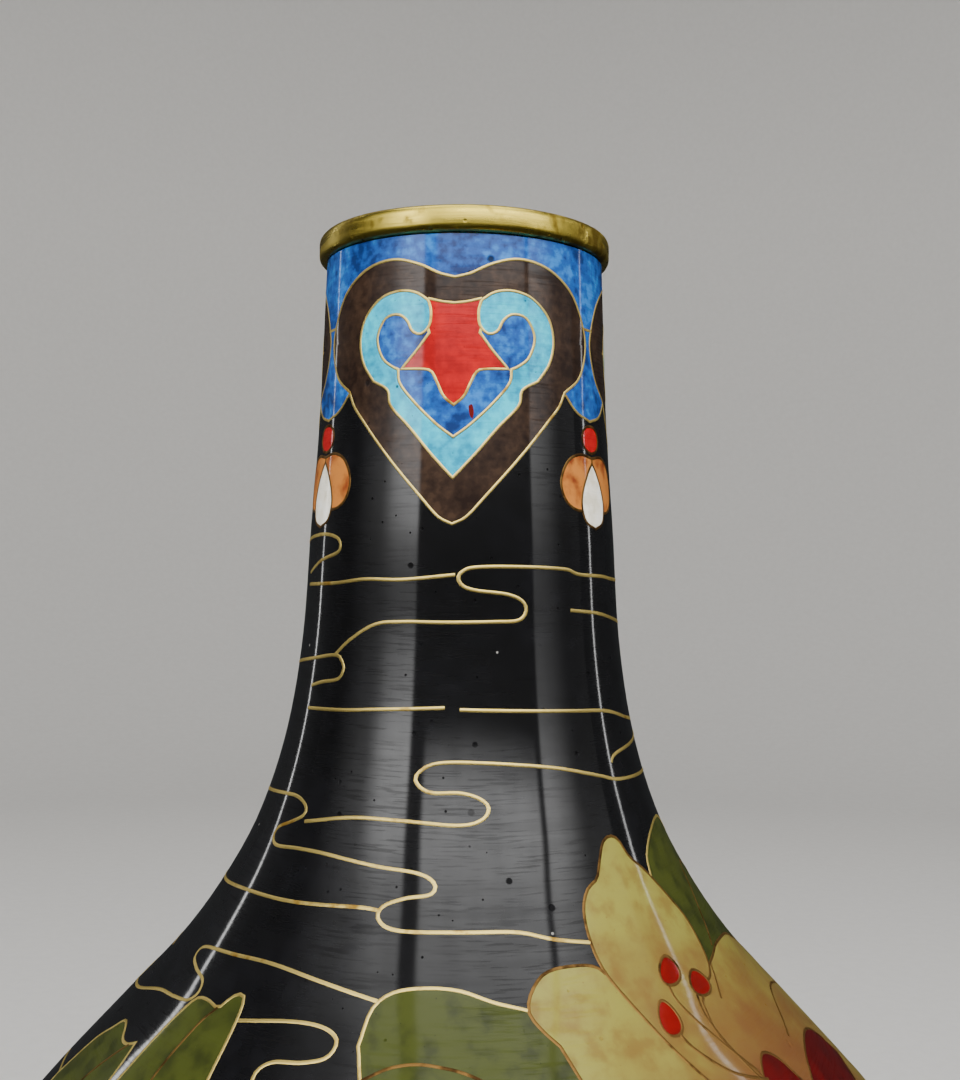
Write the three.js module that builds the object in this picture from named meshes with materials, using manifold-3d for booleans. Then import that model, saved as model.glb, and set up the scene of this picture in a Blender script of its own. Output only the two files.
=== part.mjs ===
// A bottle vase in cloisonne enamel. Spun copper shells make its body, enamel lines it inside and
// covers it outside in cells, and brass rings bind the mouth and the foot. Millimetres, +Z up, the
// origin on the ground at the middle of the foot. Angles are degrees round the axis, from the front
// (-Y) towards +X.

import * as THREE from 'three';
import Module from 'manifold-3d';
import { mergeVertices } from 'three/addons/utils/BufferGeometryUtils.js';
import { TessellateModifier } from 'three/addons/modifiers/TessellateModifier.js';

const wasm = await Module();
wasm.setup();

// ---- driving dimensions ----

const HEIGHT = 240;            // ground to the top of the mouth ring
const BELLY_RADIUS = 74;       // outside of the enamel at its widest
const BELLY_HEIGHT = 79;       // height of the widest place
const NECK_RADIUS = 18;        // outside of the enamel under the mouth ring
const FOOT_RADIUS = 39;        // outside of the foot where it meets the bowl
const FOOT_HEIGHT = 13;        // ground to where the bowl begins

const COPPER = 1.2;            // wall of the spun copper
const ENAMEL = 1.0;            // outer enamel, as deep as its wires are tall
const LINING = 0.8;            // enamel inside
const FIT = 0.3;               // clearance between one layer or piece and the next
const WIRE = 0.5;              // width of the gilt wire between two cells

const RING_HEIGHT = 3.2;       // brass mouth ring
const RING_PROUD = 1.0;        // how far the mouth ring stands out past the neck
const FOOT_RIM_HEIGHT = 3.2;   // brass rim under the foot
const FOOT_RIM_PROUD = 1.6;    // how far the foot rim stands out past the foot
const NECK_SEAM = 168;         // where the copper neck is soldered to the body
const LAPPETS = 3;             // heart-shaped lappets round the neck
const BACK_SPRAY = 150;        // degrees from the lily at the front to the one behind
const SIDES = 24;              // facets round the axis, a multiple of LAPPETS
const EDGE_SAG = 0.12;         // how far a flat edge may cut under its curve
const FACE_SAG = 0.25;         // how far a flat face may cut under the wall

// ---- the outer line of the wall ----

const ringBottom = HEIGHT - RING_HEIGHT;

// Each pair is how far up towards the mouth ring, and how much of the bulge is left there.
const shoulderLine = [
  [0, 1], [0.08, 0.985], [0.16, 0.925], [0.25, 0.8], [0.325, 0.64], [0.4, 0.445], [0.45, 0.312],
  [0.5, 0.212], [0.55, 0.138], [0.615, 0.08], [0.69, 0.046], [0.78, 0.03], [0.87, 0.013], [1, 0],
];
// The same from the foot up to the widest place.
const bowlLine = [[0, 0], [0.1, 0.2], [0.26, 0.48], [0.48, 0.78], [0.72, 0.95]];

const mix = (a, b, t) => a + (b - a) * t;
const stations = [
  ...bowlLine.map(([up, out]) => [
    mix(FOOT_HEIGHT, BELLY_HEIGHT, up), mix(FOOT_RADIUS, BELLY_RADIUS, out)]),
  ...shoulderLine.map(([up, out]) => [
    mix(BELLY_HEIGHT, ringBottom, up), mix(NECK_RADIUS, BELLY_RADIUS, out)]),
];
const slopes = stations.map((_, i) => {
  const [z0, r0] = stations[Math.max(i - 1, 0)];
  const [z1, r1] = stations[Math.min(i + 1, stations.length - 1)];
  return (r1 - r0) / (z1 - z0);
});

// Radius of the wall at a height, on a smooth curve through the stations.
function wallRadius(z) {
  let i = 0;
  while (i < stations.length - 2 && z > stations[i + 1][0]) i++;
  const [z0, r0] = stations[i];
  const [z1, r1] = stations[i + 1];
  const span = z1 - z0;
  const t = (z - z0) / span;
  return r0 * (1 + 2 * t) * (1 - t) ** 2 + r1 * t * t * (3 - 2 * t)
    + span * t * (1 - t) * (slopes[i] * (1 - t) - slopes[i + 1] * t);
}

// The point at a depth under the enamel's face, square to the wall, as radius and height.
function wallPoint(z, depth) {
  const step = 0.01;
  const slope = (wallRadius(z + step) - wallRadius(z - step)) / (2 * step);
  const length = Math.hypot(1, slope);
  return new THREE.Vector2(wallRadius(z) - depth / length, z + depth * slope / length);
}

// ---- solids of revolution and solids cut from them ----

const vase = new THREE.Group();

function addPiece(name, geometry, material) {
  const mesh = new THREE.Mesh(geometry, material);
  mesh.name = name;
  vase.add(mesh);
}

// A closed outline of radius and height turned round the Z axis.
function turn(outline) {
  const lathe = new THREE.LatheGeometry(outline, SIDES);
  lathe.rotateX(Math.PI / 2);
  return toGeometry(toSolid(lathe));
}

function toSolid(geometry) {
  const bare = geometry.clone();
  bare.deleteAttribute('normal');
  bare.deleteAttribute('uv');
  const merged = mergeVertices(bare, 1e-4);
  const index = Array.from(merged.index.array);
  const triangles = [];
  for (let i = 0; i < index.length; i += 3) {
    const [a, b, c] = index.slice(i, i + 3);
    if (a !== b && b !== c && c !== a) triangles.push(a, b, c);
  }
  return new wasm.Manifold(new wasm.Mesh({
    numProp: 3,
    vertProperties: new Float32Array(merged.attributes.position.array),
    triVerts: new Uint32Array(triangles),
  }));
}

function toGeometry(solid) {
  const mesh = solid.getMesh();
  const geometry = new THREE.BufferGeometry();
  geometry.setAttribute('position', new THREE.BufferAttribute(mesh.vertProperties, 3));
  geometry.setIndex(new THREE.BufferAttribute(mesh.triVerts, 1));
  geometry.computeVertexNormals();
  return geometry;
}

function cut(geometry, cutters) {
  return toGeometry(cutters.reduce((solid, cutter) => solid.subtract(toSolid(cutter)),
    toSolid(geometry)));
}

function join(geometries) {
  return toGeometry(geometries.map(toSolid).reduce((whole, solid) => whole.add(solid)));
}

// The heights where a shell between two heights gets a ring of corners.
function ringHeights(bottom, top) {
  const between = stations.map(([z]) => z).filter((z) => z > bottom + 2 && z < top - 2);
  return [bottom, ...between, top];
}

// A shell of the wall between two heights and two depths under the enamel's face.
function shell(bottom, top, outerDepth, innerDepth) {
  const heights = ringHeights(bottom, top);
  const outer = heights.map((z) => wallPoint(z, outerDepth));
  const inner = heights.map((z) => wallPoint(z, innerDepth)).reverse();
  return [...outer, ...inner, outer[0].clone()];
}

// ---- outlines laid on the wall ----

// An outline is a ring of [angle, height] corners. It is drawn as runs of smooth curve that
// meet in sharp corners: each run ends where the next one starts.
function drawOutline(segments) {
  const outline = [];
  for (const segment of segments) {
    const knots = segment.map(([angle, z]) => new THREE.Vector2(angle, z));
    const curve = new THREE.SplineCurve(knots);
    const length = segment.slice(1).reduce((sum, [angle, z], i) => sum
      + Math.hypot((angle - segment[i][0]) * perDegreeAt(z), z - segment[i][1]), 0);
    const steps = Math.max(knots.length - 1, Math.round(length / chord(segment[0][1], EDGE_SAG)));
    for (let s = 0; s < steps; s++) {
      const p = curve.getPoint(s / steps);
      outline.push([p.x, p.y]);
    }
  }
  return outline;
}

// The longest straight line that stays within a sag of the wall at a height.
const chord = (z, sag) => Math.sqrt(8 * sag * wallRadius(z));

const joinRuns = (runs, last) => runs.map((run, i) => [...run, ...(runs[i + 1] || [last]).slice(0, 1)]);
const closed = (runs) => drawOutline(joinRuns(runs, runs[0][0]));

// The runs draw the right-hand side, from the middle to the middle. The left side mirrors it.
function symmetrical(runs) {
  const last = runs[runs.length - 1];
  const right = joinRuns([...runs.slice(0, -1), last.slice(0, -1)], last[last.length - 1]);
  const left = right.map((run) => mirrored(run)).reverse();
  return drawOutline([...right, ...left]);
}

const mirrored = (points) => points.map(([angle, z]) => [-angle, z]).reverse();

const perDegreeAt = (z) => wallRadius(z) * Math.PI / 180;

// Moves every side of an outline outwards by a distance, or inwards if it is negative.
function grow(outline, distance) {
  const flat = outline.map(([angle, z]) => new THREE.Vector2(angle * perDegreeAt(z), z));
  const turned = THREE.ShapeUtils.isClockWise(flat) ? -1 : 1;
  return outline.map(([angle, z], i) => {
    const scale = perDegreeAt(z);
    const here = new THREE.Vector2(angle * scale, z);
    const side = (j) => {
      const [a, y] = outline[(j + outline.length) % outline.length];
      return new THREE.Vector2(a * scale, y);
    };
    const before = here.clone().sub(side(i - 1)).normalize();
    const after = side(i + 1).sub(here).normalize();
    const n0 = new THREE.Vector2(before.y, -before.x);
    const n1 = new THREE.Vector2(after.y, -after.x);
    const middle = n0.clone().add(n1).normalize();
    const reach = distance * turned / Math.max(0.6, middle.dot(n0));
    return [angle + middle.x * reach / scale, z + middle.y * reach];
  });
}

const place = (outline, turnBy) => outline.map(([angle, z]) => [angle + turnBy, z]);

// A plate of the wall under an outline, between two depths under the enamel's face.
function plate(outline, outerDepth, innerDepth, hole = null) {
  const heights = outline.map(([, z]) => z);
  const middle = (Math.min(...heights) + Math.max(...heights)) / 2;
  const perDegree = perDegreeAt(middle);
  const shape = new THREE.Shape(outline.map(([angle, z]) => new THREE.Vector2(angle * perDegree, z)));
  if (hole) {
    shape.holes.push(new THREE.Path(hole.map(([angle, z]) => new THREE.Vector2(angle * perDegree, z))));
  }
  let flat = new THREE.ShapeGeometry(shape);
  flat.deleteAttribute('normal');
  flat.deleteAttribute('uv');
  flat = mergeVertices(new TessellateModifier(chord(middle, FACE_SAG), 9).modify(flat), 1e-4);
  const spots = flat.attributes.position;
  const faces = Array.from(flat.index.array);
  const count = spots.count;
  const positions = [];
  for (const depth of [outerDepth, innerDepth]) {
    for (let i = 0; i < count; i++) {
      const angle = THREE.MathUtils.degToRad(spots.getX(i) / perDegree);
      const p = wallPoint(spots.getY(i), depth);
      positions.push(p.x * Math.sin(angle), -p.x * Math.cos(angle), p.y);
    }
  }
  const triangles = [];
  const sides = new Map();
  for (let i = 0; i < faces.length; i += 3) {
    const [a, b, c] = faces.slice(i, i + 3);
    triangles.push(a, b, c, c + count, b + count, a + count);
    for (const [u, v] of [[a, b], [b, c], [c, a]]) {
      if (!sides.delete(`${v},${u}`)) sides.set(`${u},${v}`, [u, v]);
    }
  }
  for (const [u, v] of sides.values()) triangles.push(v, u, u + count, v, u + count, v + count);
  const geometry = new THREE.BufferGeometry();
  geometry.setAttribute('position', new THREE.Float32BufferAttribute(positions, 3));
  geometry.setIndex(triangles);
  geometry.computeVertexNormals();
  return geometry;
}

// ---- materials ----

const glaze = (color) => new THREE.MeshStandardMaterial({ color, roughness: 0.2, metalness: 0 });
const metal = (color) => new THREE.MeshStandardMaterial({ color, roughness: 0.35, metalness: 1 });
const black = glaze(0x0c0c0f);
const blue = glaze(0x2a66b8);
const turquoise = glaze(0x45bfdc);
const brown = glaze(0x3e2a26);
const red = glaze(0xb81e1e);
const white = glaze(0xe2dfd6);
const ochre = glaze(0xd39a5c);
const cream = glaze(0xb9a97a);
const green = glaze(0x6c7a36);
const copper = metal(0xb26a45);
const brass = metal(0xb39a4c);
const gilt = metal(0xcbb072);

// ---- copper body, brass rings and lining ----

const copperOuter = ENAMEL + FIT;
const copperInner = copperOuter + COPPER;
const liningOuter = copperInner + FIT;
const liningInner = liningOuter + LINING;
const floorTop = FOOT_HEIGHT + COPPER;

addPiece('copper_neck', turn(shell(NECK_SEAM + FIT, ringBottom - FIT, copperOuter, copperInner)),
  copper);
addPiece('copper_upper_body', turn(shell(BELLY_HEIGHT + FIT, NECK_SEAM, copperOuter, copperInner)),
  copper);

// The bowl is one spinning with a flat floor.
const bowlHeights = ringHeights(FOOT_HEIGHT + copperInner + 1, BELLY_HEIGHT);
const bowlOuter = bowlHeights.map((z) => wallPoint(z, copperOuter));
const bowlInner = bowlHeights.map((z) => wallPoint(z, copperInner)).reverse();
const floorRadius = FOOT_RADIUS - ENAMEL - FIT - COPPER;
addPiece('copper_bowl', turn([
  new THREE.Vector2(0, FOOT_HEIGHT), new THREE.Vector2(floorRadius, FOOT_HEIGHT), ...bowlOuter,
  ...bowlInner, new THREE.Vector2(floorRadius - COPPER, floorTop), new THREE.Vector2(0, floorTop),
]), copper);

// The foot is a soldered hoop that the brass rim is fitted round.
const hoopOuter = FOOT_RADIUS - ENAMEL - FIT;
const hoopInner = hoopOuter - COPPER;
addPiece('copper_foot', turn([
  new THREE.Vector2(hoopInner, FIT), new THREE.Vector2(hoopOuter, FIT),
  new THREE.Vector2(hoopOuter, FOOT_HEIGHT - FIT), new THREE.Vector2(hoopInner, FOOT_HEIGHT - FIT),
  new THREE.Vector2(hoopInner, FIT),
]), copper);

const rimOuter = FOOT_RADIUS + FOOT_RIM_PROUD;
const rimInner = hoopOuter + FIT;
const rimEase = 0.6;
addPiece('foot_rim', turn([
  new THREE.Vector2(rimInner, 0), new THREE.Vector2(rimOuter - rimEase, 0),
  new THREE.Vector2(rimOuter, rimEase), new THREE.Vector2(rimOuter, FOOT_RIM_HEIGHT - rimEase),
  new THREE.Vector2(rimOuter - rimEase, FOOT_RIM_HEIGHT),
  new THREE.Vector2(rimInner, FOOT_RIM_HEIGHT), new THREE.Vector2(rimInner, 0),
]), brass);

const footTop = FOOT_HEIGHT - FIT;
addPiece('foot_enamel', turn([
  new THREE.Vector2(rimInner, FOOT_RIM_HEIGHT + FIT),
  new THREE.Vector2(FOOT_RADIUS, FOOT_RIM_HEIGHT + FIT),
  new THREE.Vector2(FOOT_RADIUS, footTop), new THREE.Vector2(rimInner, footTop),
  new THREE.Vector2(rimInner, FOOT_RIM_HEIGHT + FIT),
]), turquoise);

addPiece('base_enamel', turn([
  new THREE.Vector2(0, footTop - LINING), new THREE.Vector2(hoopInner - FIT, footTop - LINING),
  new THREE.Vector2(hoopInner - FIT, footTop), new THREE.Vector2(0, footTop),
]), blue);

// The mouth ring caps the copper and both enamels, so its bore is the bore of the lining.
const mouthOuter = NECK_RADIUS + RING_PROUD;
const mouthInner = NECK_RADIUS - liningInner;
const ringEase = 0.9;
addPiece('mouth_ring', turn([
  new THREE.Vector2(mouthInner, ringBottom), new THREE.Vector2(mouthOuter - ringEase, ringBottom),
  new THREE.Vector2(mouthOuter, ringBottom + ringEase),
  new THREE.Vector2(mouthOuter, HEIGHT - ringEase), new THREE.Vector2(mouthOuter - ringEase, HEIGHT),
  new THREE.Vector2(mouthInner, HEIGHT), new THREE.Vector2(mouthInner, ringBottom),
]), brass);

const liningHeights = ringHeights(FOOT_HEIGHT + liningInner + 3, ringBottom - FIT);
const liningFloor = floorTop + FIT;
const liningFoot = floorRadius - COPPER - FIT;
addPiece('lining', turn([
  new THREE.Vector2(0, liningFloor), new THREE.Vector2(liningFoot, liningFloor),
  ...liningHeights.map((z) => wallPoint(z, liningOuter)),
  ...liningHeights.map((z) => wallPoint(z, liningInner)).reverse(),
  new THREE.Vector2(liningFoot - LINING, liningFloor + LINING),
  new THREE.Vector2(0, liningFloor + LINING),
]), turquoise);

// ---- the neck: lappets, collar and pendants ----

// Neck patterns are drawn from their own middle, as degrees to the side and millimetres below
// the mouth ring.
const below = (points) => points.map(([angle, drop]) => [angle, ringBottom - drop]);
const neckPattern = (runs) => symmetrical(runs.map(below));
const neckCell = (runs) => closed(runs.map(below));

const cellInset = -(WIRE + FIT) / 2;
const cellRoom = (WIRE + FIT) / 2;
const WIRE_HALF = WIRE / 2;

const lappet = neckPattern([
  [[0, 5.4], [10, 4.3], [24, 3.0], [40, 4.0], [51, 6.6], [57, 10.5], [57.5, 13], [53, 16]],
  [[44, 18.6], [38, 21.3], [25, 26.3], [12, 31.2], [5, 33.6], [0, 34.6]],
]);
// The turquoise scroll rises from the point of the lappet and curls in at each side of a heart.
const scrollEdge = [
  [15, 7.1], [22, 6.8], [30, 7.4], [37, 9.4], [39.5, 12.2], [37, 15.4], [31, 17.8]];
const scrollPoint = [[25, 18.8], [23.5, 20.5], [16, 23.3], [8, 26.4]];
const scrollCurl = [
  [10, 8.2], [9, 9.8], [9.8, 11.4], [13, 12.2], [16.6, 11.7], [18.7, 10.4], [22, 9.5], [28, 9.9],
  [31.5, 12.2], [29, 14.8], [25, 15.8]];
const scroll = neckPattern([
  [[0, 29.2], ...scrollPoint.slice().reverse()], scrollEdge.slice().reverse(), scrollCurl,
  [[21.4, 16.2], [20.2, 18], [14, 20.3], [6, 22.9], [0, 24.4]],
]);
const figure = neckPattern([[[0, 8.5], [5, 8.4]], [[9.2, 7.9], ...scrollEdge],
  [...scrollPoint, [0, 29.2]]]);
const heart = neckPattern([
  [[0, 8.5], [5, 8.4]], [[8.4, 8], [7.6, 9.9]], [[8.8, 11.9], [14, 14.2]],
  [[19.2, 16.2], [12, 16.4], [8, 17], [4, 19.7], [0, 20.4]],
]);
const underHeart = neckPattern([
  [[0, 20.5], [4, 19.8], [8.1, 17.1], [12, 16.5]], [[20, 16.4]],
  [[20.2, 18], [14, 20.3], [6, 22.9], [0, 24.4]],
]);
const rightEye = neckCell([
  [[9.8, 11.9], [13, 12.2], [16.6, 11.7], [18.7, 10.4], [22, 9.5], [28, 9.9], [31.5, 12.2],
    [29, 14.8], [25, 15.8]],
  [[19.6, 16.1], [14, 14.1]],
]);
const leftEye = mirrored(rightEye);

// The blue collar hangs in a drop between each two lappets.
const halfStep = 180 / LAPPETS;
const drop = neckPattern([
  [[0, 11], [1, 12.4], [4.5, 15.2], [10, 17.4]], [[15, 18.2], [9, 20.4], [0, 21.4]],
]);

// A pendant hangs under each drop: a bead, then a bud between two petals.
const bead = neckPattern([[[0, 22.3], [4, 22.5]], [[7.6, 23.7], [4, 24.9], [0, 25.2]]]);
const bud = neckPattern([[[0, 26.6], [4, 28.2], [7.6, 30.2], [8.2, 32], [5, 34], [0, 34.7]]]);
const rightPetal = neckCell([
  [[1, 26.1], [8, 25.9], [15, 27], [18.6, 29.3], [16, 31.6], [9.6, 32.5]], [[9, 30.2], [4.6, 27.6]],
]);
const leftPetal = mirrored(rightPetal);

// ---- the shoulder: a lily and its leaves, front and back ----

// Shoulder patterns are drawn as degrees from the middle of a lappet and millimetres above the
// widest place.
const above = (points) => points.map(([angle, rise]) => [angle, BELLY_HEIGHT + rise]);
const shoulderCell = (runs) => closed(runs.map(above));

// What comes first lies over what comes after.
const spray = {
  lily_throat: [shoulderCell([
    [[52, 60], [58, 64.4], [66, 61.5], [76, 62.4], [84, 60], [78, 55]], [[66, 50], [56, 53]],
  ]), red],
  lily_top_petal: [shoulderCell([
    [[62, 54], [50, 58.5], [41.5, 65.5], [36.5, 70.5], [32.5, 74.5], [31.5, 77.5], [34, 81.8],
      [38.5, 83.5]],
    [[39, 84], [42, 86.4], [45.5, 87], [49, 86.4], [51.5, 84.4], [56, 82.4], [61, 79], [63, 75]],
    [[60, 71]],
  ]), cream],
  lily_right_petal: [shoulderCell([
    [[62, 54], [53, 65]], [[58, 71.4], [66, 73], [74, 73.4], [84, 72.4], [95, 68.6], [103, 63]],
    [[108, 55], [96, 54.5], [84, 53]],
  ]), cream],
  lily_left_petal: [shoulderCell([
    [[62, 54], [50, 58.5], [41.5, 65.5], [36.5, 70.5]], [[33, 74.2], [29, 75.2], [23.5, 75.2],
      [18, 74], [16, 72]],
    [[16.5, 71.6], [20, 69], [24, 64], [32, 58], [46, 52.5]],
  ]), cream],
  lily_lower_left_petal: [shoulderCell([
    [[62, 54], [46, 52.5], [34, 46], [28, 36]], [[27, 26], [37, 25], [48, 32], [57, 43]],
  ]), cream],
  lily_lower_right_petal: [shoulderCell([
    [[62, 54], [57, 43], [58, 31], [65, 20]], [[73, 13], [82, 21], [87, 34], [82, 46]],
  ]), cream],
  leaf_right: [shoulderCell([
    [[56, 60], [56.5, 82.2], [64, 86], [74, 87.2], [84, 86.6], [95, 83], [104, 77]],
    [[111, 69], [98, 66], [80, 62]],
  ]), green],
  leaf_middle: [shoulderCell([
    [[-12, 68.5], [-10.5, 72.3], [-4.5, 73.7], [1.5, 73.9], [8.5, 73.2], [17, 71.6]],
    [[24, 70]], [[33, 60], [22, 57.5], [12, 58.5], [0, 61.5], [-9, 65]],
  ]), green],
  leaf_left: [shoulderCell([
    [[-53.5, 60], [-52.8, 66], [-49.5, 69.3], [-43.5, 69.8]], [[-39.6, 71.2], [-36.6, 69],
      [-35.3, 64], [-37, 56]],
    [[-44, 48], [-51, 53]],
  ]), green],
};

// ---- the cells on the wall ----

const groundFoot = footTop + 2 * FIT + ENAMEL;
const ground = turn(shell(groundFoot, ringBottom - 17, 0, ENAMEL));
const collar = turn(shell(ringBottom - 12.5, ringBottom - FIT, 0, ENAMEL));
const cutter = (outline, room = cellRoom) => plate(grow(outline, room), -3, ENAMEL + 1);
const cell = (outline) => plate(grow(outline, cellInset), 0, ENAMEL);

const groundCutters = [];
const collarCutters = [];
const drops = [];
for (let i = 0; i < LAPPETS; i++) {
  const turnBy = i * 360 / LAPPETS;
  const number = i + 1;
  const here = (outline) => place(outline, turnBy);
  addPiece(`lappet_${number}_band`, plate(grow(here(lappet), cellInset), 0, ENAMEL,
    grow(here(figure), cellRoom)), brown);
  addPiece(`lappet_${number}_scroll`, cell(here(scroll)), turquoise);
  addPiece(`lappet_${number}_heart`, cell(here(heart)), red);
  addPiece(`lappet_${number}_under_heart`, cell(here(underHeart)), blue);
  addPiece(`lappet_${number}_right_eye`, cell(here(rightEye)), blue);
  addPiece(`lappet_${number}_left_eye`, cell(here(leftEye)), blue);
  addPiece(`lappet_${number}_wire`, plate(grow(here(lappet), WIRE_HALF), 0, ENAMEL,
    grow(here(lappet), -WIRE_HALF)), gilt);

  const between = (outline) => place(outline, turnBy + halfStep);
  addPiece(`pendant_${number}_bead`, cell(between(bead)), red);
  addPiece(`pendant_${number}_bud`, cell(between(bud)), white);
  addPiece(`pendant_${number}_right_petal`, cell(between(rightPetal)), ochre);
  addPiece(`pendant_${number}_left_petal`, cell(between(leftPetal)), ochre);
  drops.push(plate(grow(between(drop), cellInset), 0, ENAMEL));
  collarCutters.push(cutter(here(lappet)));
  groundCutters.push(cutter(here(lappet)), cutter(between(drop)), cutter(between(bead)),
    cutter(between(bud)), cutter(between(rightPetal)), cutter(between(leftPetal)));
}
addPiece('collar', join([cut(collar, collarCutters), ...drops]), blue);

const frontOnly = ['leaf_middle', 'leaf_left'];
[['front', 0], ['back', BACK_SPRAY]].forEach(([side, turnBy]) => {
  const over = [];
  for (const [name, [outline, material]] of Object.entries(spray)) {
    if (side === 'back' && frontOnly.includes(name)) continue;
    const here = place(outline, turnBy);
    addPiece(`${side}_${name}`, cut(cell(here), over), material);
    over.push(cutter(here));
    groundCutters.push(cutter(here));
  }
});
addPiece('ground', cut(ground, groundCutters), black);

export default vase;
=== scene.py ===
# %% [markdown]
# # A cloisonne bottle vase
#
# The vase is a copper bottle covered with glass. Flat gilt wires are bent to a drawing and stood
# on edge on the copper, the cells between them are filled with coloured glass powder, and the
# whole is fired and then ground flat, so that wire and glass finish level. The lesson follows that
# order: the wall, the drawing, the cells, the wires, then the metal, the finishes and the light.

# %% Load the frame
import math

import bmesh
import bpy
import numpy as np
from mathutils import Matrix, Vector
from mathutils.geometry import delaunay_2d_cdt


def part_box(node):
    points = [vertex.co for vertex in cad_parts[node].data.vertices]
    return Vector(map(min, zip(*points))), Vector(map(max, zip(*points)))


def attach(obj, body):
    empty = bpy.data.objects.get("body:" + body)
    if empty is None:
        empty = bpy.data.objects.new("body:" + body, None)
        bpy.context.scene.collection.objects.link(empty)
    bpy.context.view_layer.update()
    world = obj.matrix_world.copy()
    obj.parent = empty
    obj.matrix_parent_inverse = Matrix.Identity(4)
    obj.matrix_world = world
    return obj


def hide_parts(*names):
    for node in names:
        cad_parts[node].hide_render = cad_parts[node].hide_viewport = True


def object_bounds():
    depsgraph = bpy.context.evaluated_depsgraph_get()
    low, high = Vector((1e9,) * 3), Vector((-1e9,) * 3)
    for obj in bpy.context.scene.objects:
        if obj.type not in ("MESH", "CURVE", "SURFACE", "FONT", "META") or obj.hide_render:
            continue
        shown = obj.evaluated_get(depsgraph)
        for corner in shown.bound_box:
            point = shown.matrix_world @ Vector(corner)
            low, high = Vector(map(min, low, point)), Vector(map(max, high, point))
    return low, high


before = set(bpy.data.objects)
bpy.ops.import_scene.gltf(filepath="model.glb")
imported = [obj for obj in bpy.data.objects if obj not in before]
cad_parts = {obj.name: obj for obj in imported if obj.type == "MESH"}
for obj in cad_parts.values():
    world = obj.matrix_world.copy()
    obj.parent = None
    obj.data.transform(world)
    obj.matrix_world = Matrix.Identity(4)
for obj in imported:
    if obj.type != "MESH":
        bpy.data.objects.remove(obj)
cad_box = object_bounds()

MM = 0.001


def new_object(name, data):
    """An object in the scene for a mesh, a lamp or a camera."""
    made = bpy.data.objects.new(name, data)
    bpy.context.collection.objects.link(made)
    return made


print("CAD pieces:", len(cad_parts))

# %% [markdown]
# ## The wall
#
# Every cell and wire lies on one surface, the outside of the body. It is a curve turned round an
# axis, so it could be a lathe object with a screw modifier. A function is better here, because it
# also says where a point of the drawing lands and which way the surface faces there.

# %% Sizes from the frame
height = cad_box[1].z / MM
ring_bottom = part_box("mouth_ring")[0].z / MM
mouth_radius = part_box("mouth_ring")[1].y / MM
belly_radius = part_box("ground")[1].y / MM
belly_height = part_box("copper_bowl")[1].z / MM
foot_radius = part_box("foot_enamel")[1].y / MM
foot_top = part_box("copper_bowl")[0].z / MM
rim_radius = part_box("foot_rim")[1].y / MM
rim_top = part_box("foot_rim")[1].z / MM
ring_proud = 1.0
neck_radius = mouth_radius - ring_proud
print(f"height {height:.1f}, belly {belly_radius:.1f}, neck {neck_radius:.1f} mm")

# %% The outer line of the wall
shoulder_line = [
    (0, 1), (0.08, 0.985), (0.16, 0.925), (0.25, 0.8), (0.325, 0.64), (0.4, 0.445),
    (0.45, 0.312), (0.5, 0.212), (0.55, 0.138), (0.615, 0.08), (0.69, 0.046), (0.78, 0.03),
    (0.87, 0.013), (1, 0),
]
bowl_line = [(0, 0), (0.1, 0.2), (0.26, 0.48), (0.48, 0.78), (0.72, 0.95)]


def between(first, last, share):
    return first + (last - first) * share


stations = [(between(foot_top, belly_height, up), between(foot_radius, belly_radius, out))
            for up, out in bowl_line]
stations += [(between(belly_height, ring_bottom, up), between(neck_radius, belly_radius, out))
             for up, out in shoulder_line]
station_z, station_r = np.array(stations).T
inner_slopes = (station_r[2:] - station_r[:-2]) / (station_z[2:] - station_z[:-2])
end_slopes = np.diff(station_r)[[0, -1]] / np.diff(station_z)[[0, -1]]
station_slope = np.concatenate([end_slopes[:1], inner_slopes, end_slopes[1:]])


def body_radius(z):
    """Radius of the body at heights in millimetres: a smooth curve through the stations."""
    z = np.asarray(z, float)
    i = np.clip(np.searchsorted(station_z, z) - 1, 0, len(station_z) - 2)
    span = station_z[i + 1] - station_z[i]
    t = (z - station_z[i]) / span
    ends = station_r[i] * (1 + 2 * t) * (1 - t) ** 2 + station_r[i + 1] * t * t * (3 - 2 * t)
    bend = station_slope[i] * (1 - t) - station_slope[i + 1] * t
    return ends + span * t * (1 - t) * bend


def foot_wall_radius(z):
    return np.full_like(np.asarray(z, float), foot_radius)


print("neck at the first lappet:", np.round(body_radius(ring_bottom - 20), 1))

# %% Points on a wall
def wall_normal(radius_at, z):
    """Outward direction of the wall as (radial part, upward part)."""
    slope = (radius_at(z + 0.05) - radius_at(z - 0.05)) / 0.1
    length = np.hypot(1, slope)
    return 1 / length, -slope / length


def on_wall(radius_at, angle, z, depth):
    """Points in metres at angles in degrees, heights and depths under the face in millimetres."""
    out, up = wall_normal(radius_at, z)
    r = radius_at(z) - depth * out
    turn = np.radians(angle)
    return np.stack([r * np.sin(turn), -r * np.cos(turn), z - depth * up], -1) * MM


def facing(radius_at, angle, z):
    out, up = wall_normal(radius_at, z)
    turn = np.radians(angle)
    return np.stack([out * np.sin(turn), -out * np.cos(turn), up + 0 * turn], -1)


def mm_per_degree(z):
    return body_radius(z) * math.pi / 180


print("a degree at the widest place:", np.round(mm_per_degree(belly_height), 2), "mm")

# %% [markdown]
# ## Drawing on the wall
#
# A maker draws the pattern on paper and bends wire along it. Here the paper is a flat sheet of
# angles and heights. A line of the drawing is given by the few points a pen would aim for, and a
# smooth curve is run through them. Where two runs of curve meet there is a sharp corner, as where
# a wire is nipped with pliers. Drawing with curve objects would work too, but plain arrays can be
# trimmed, mirrored and repeated in one line.

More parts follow.
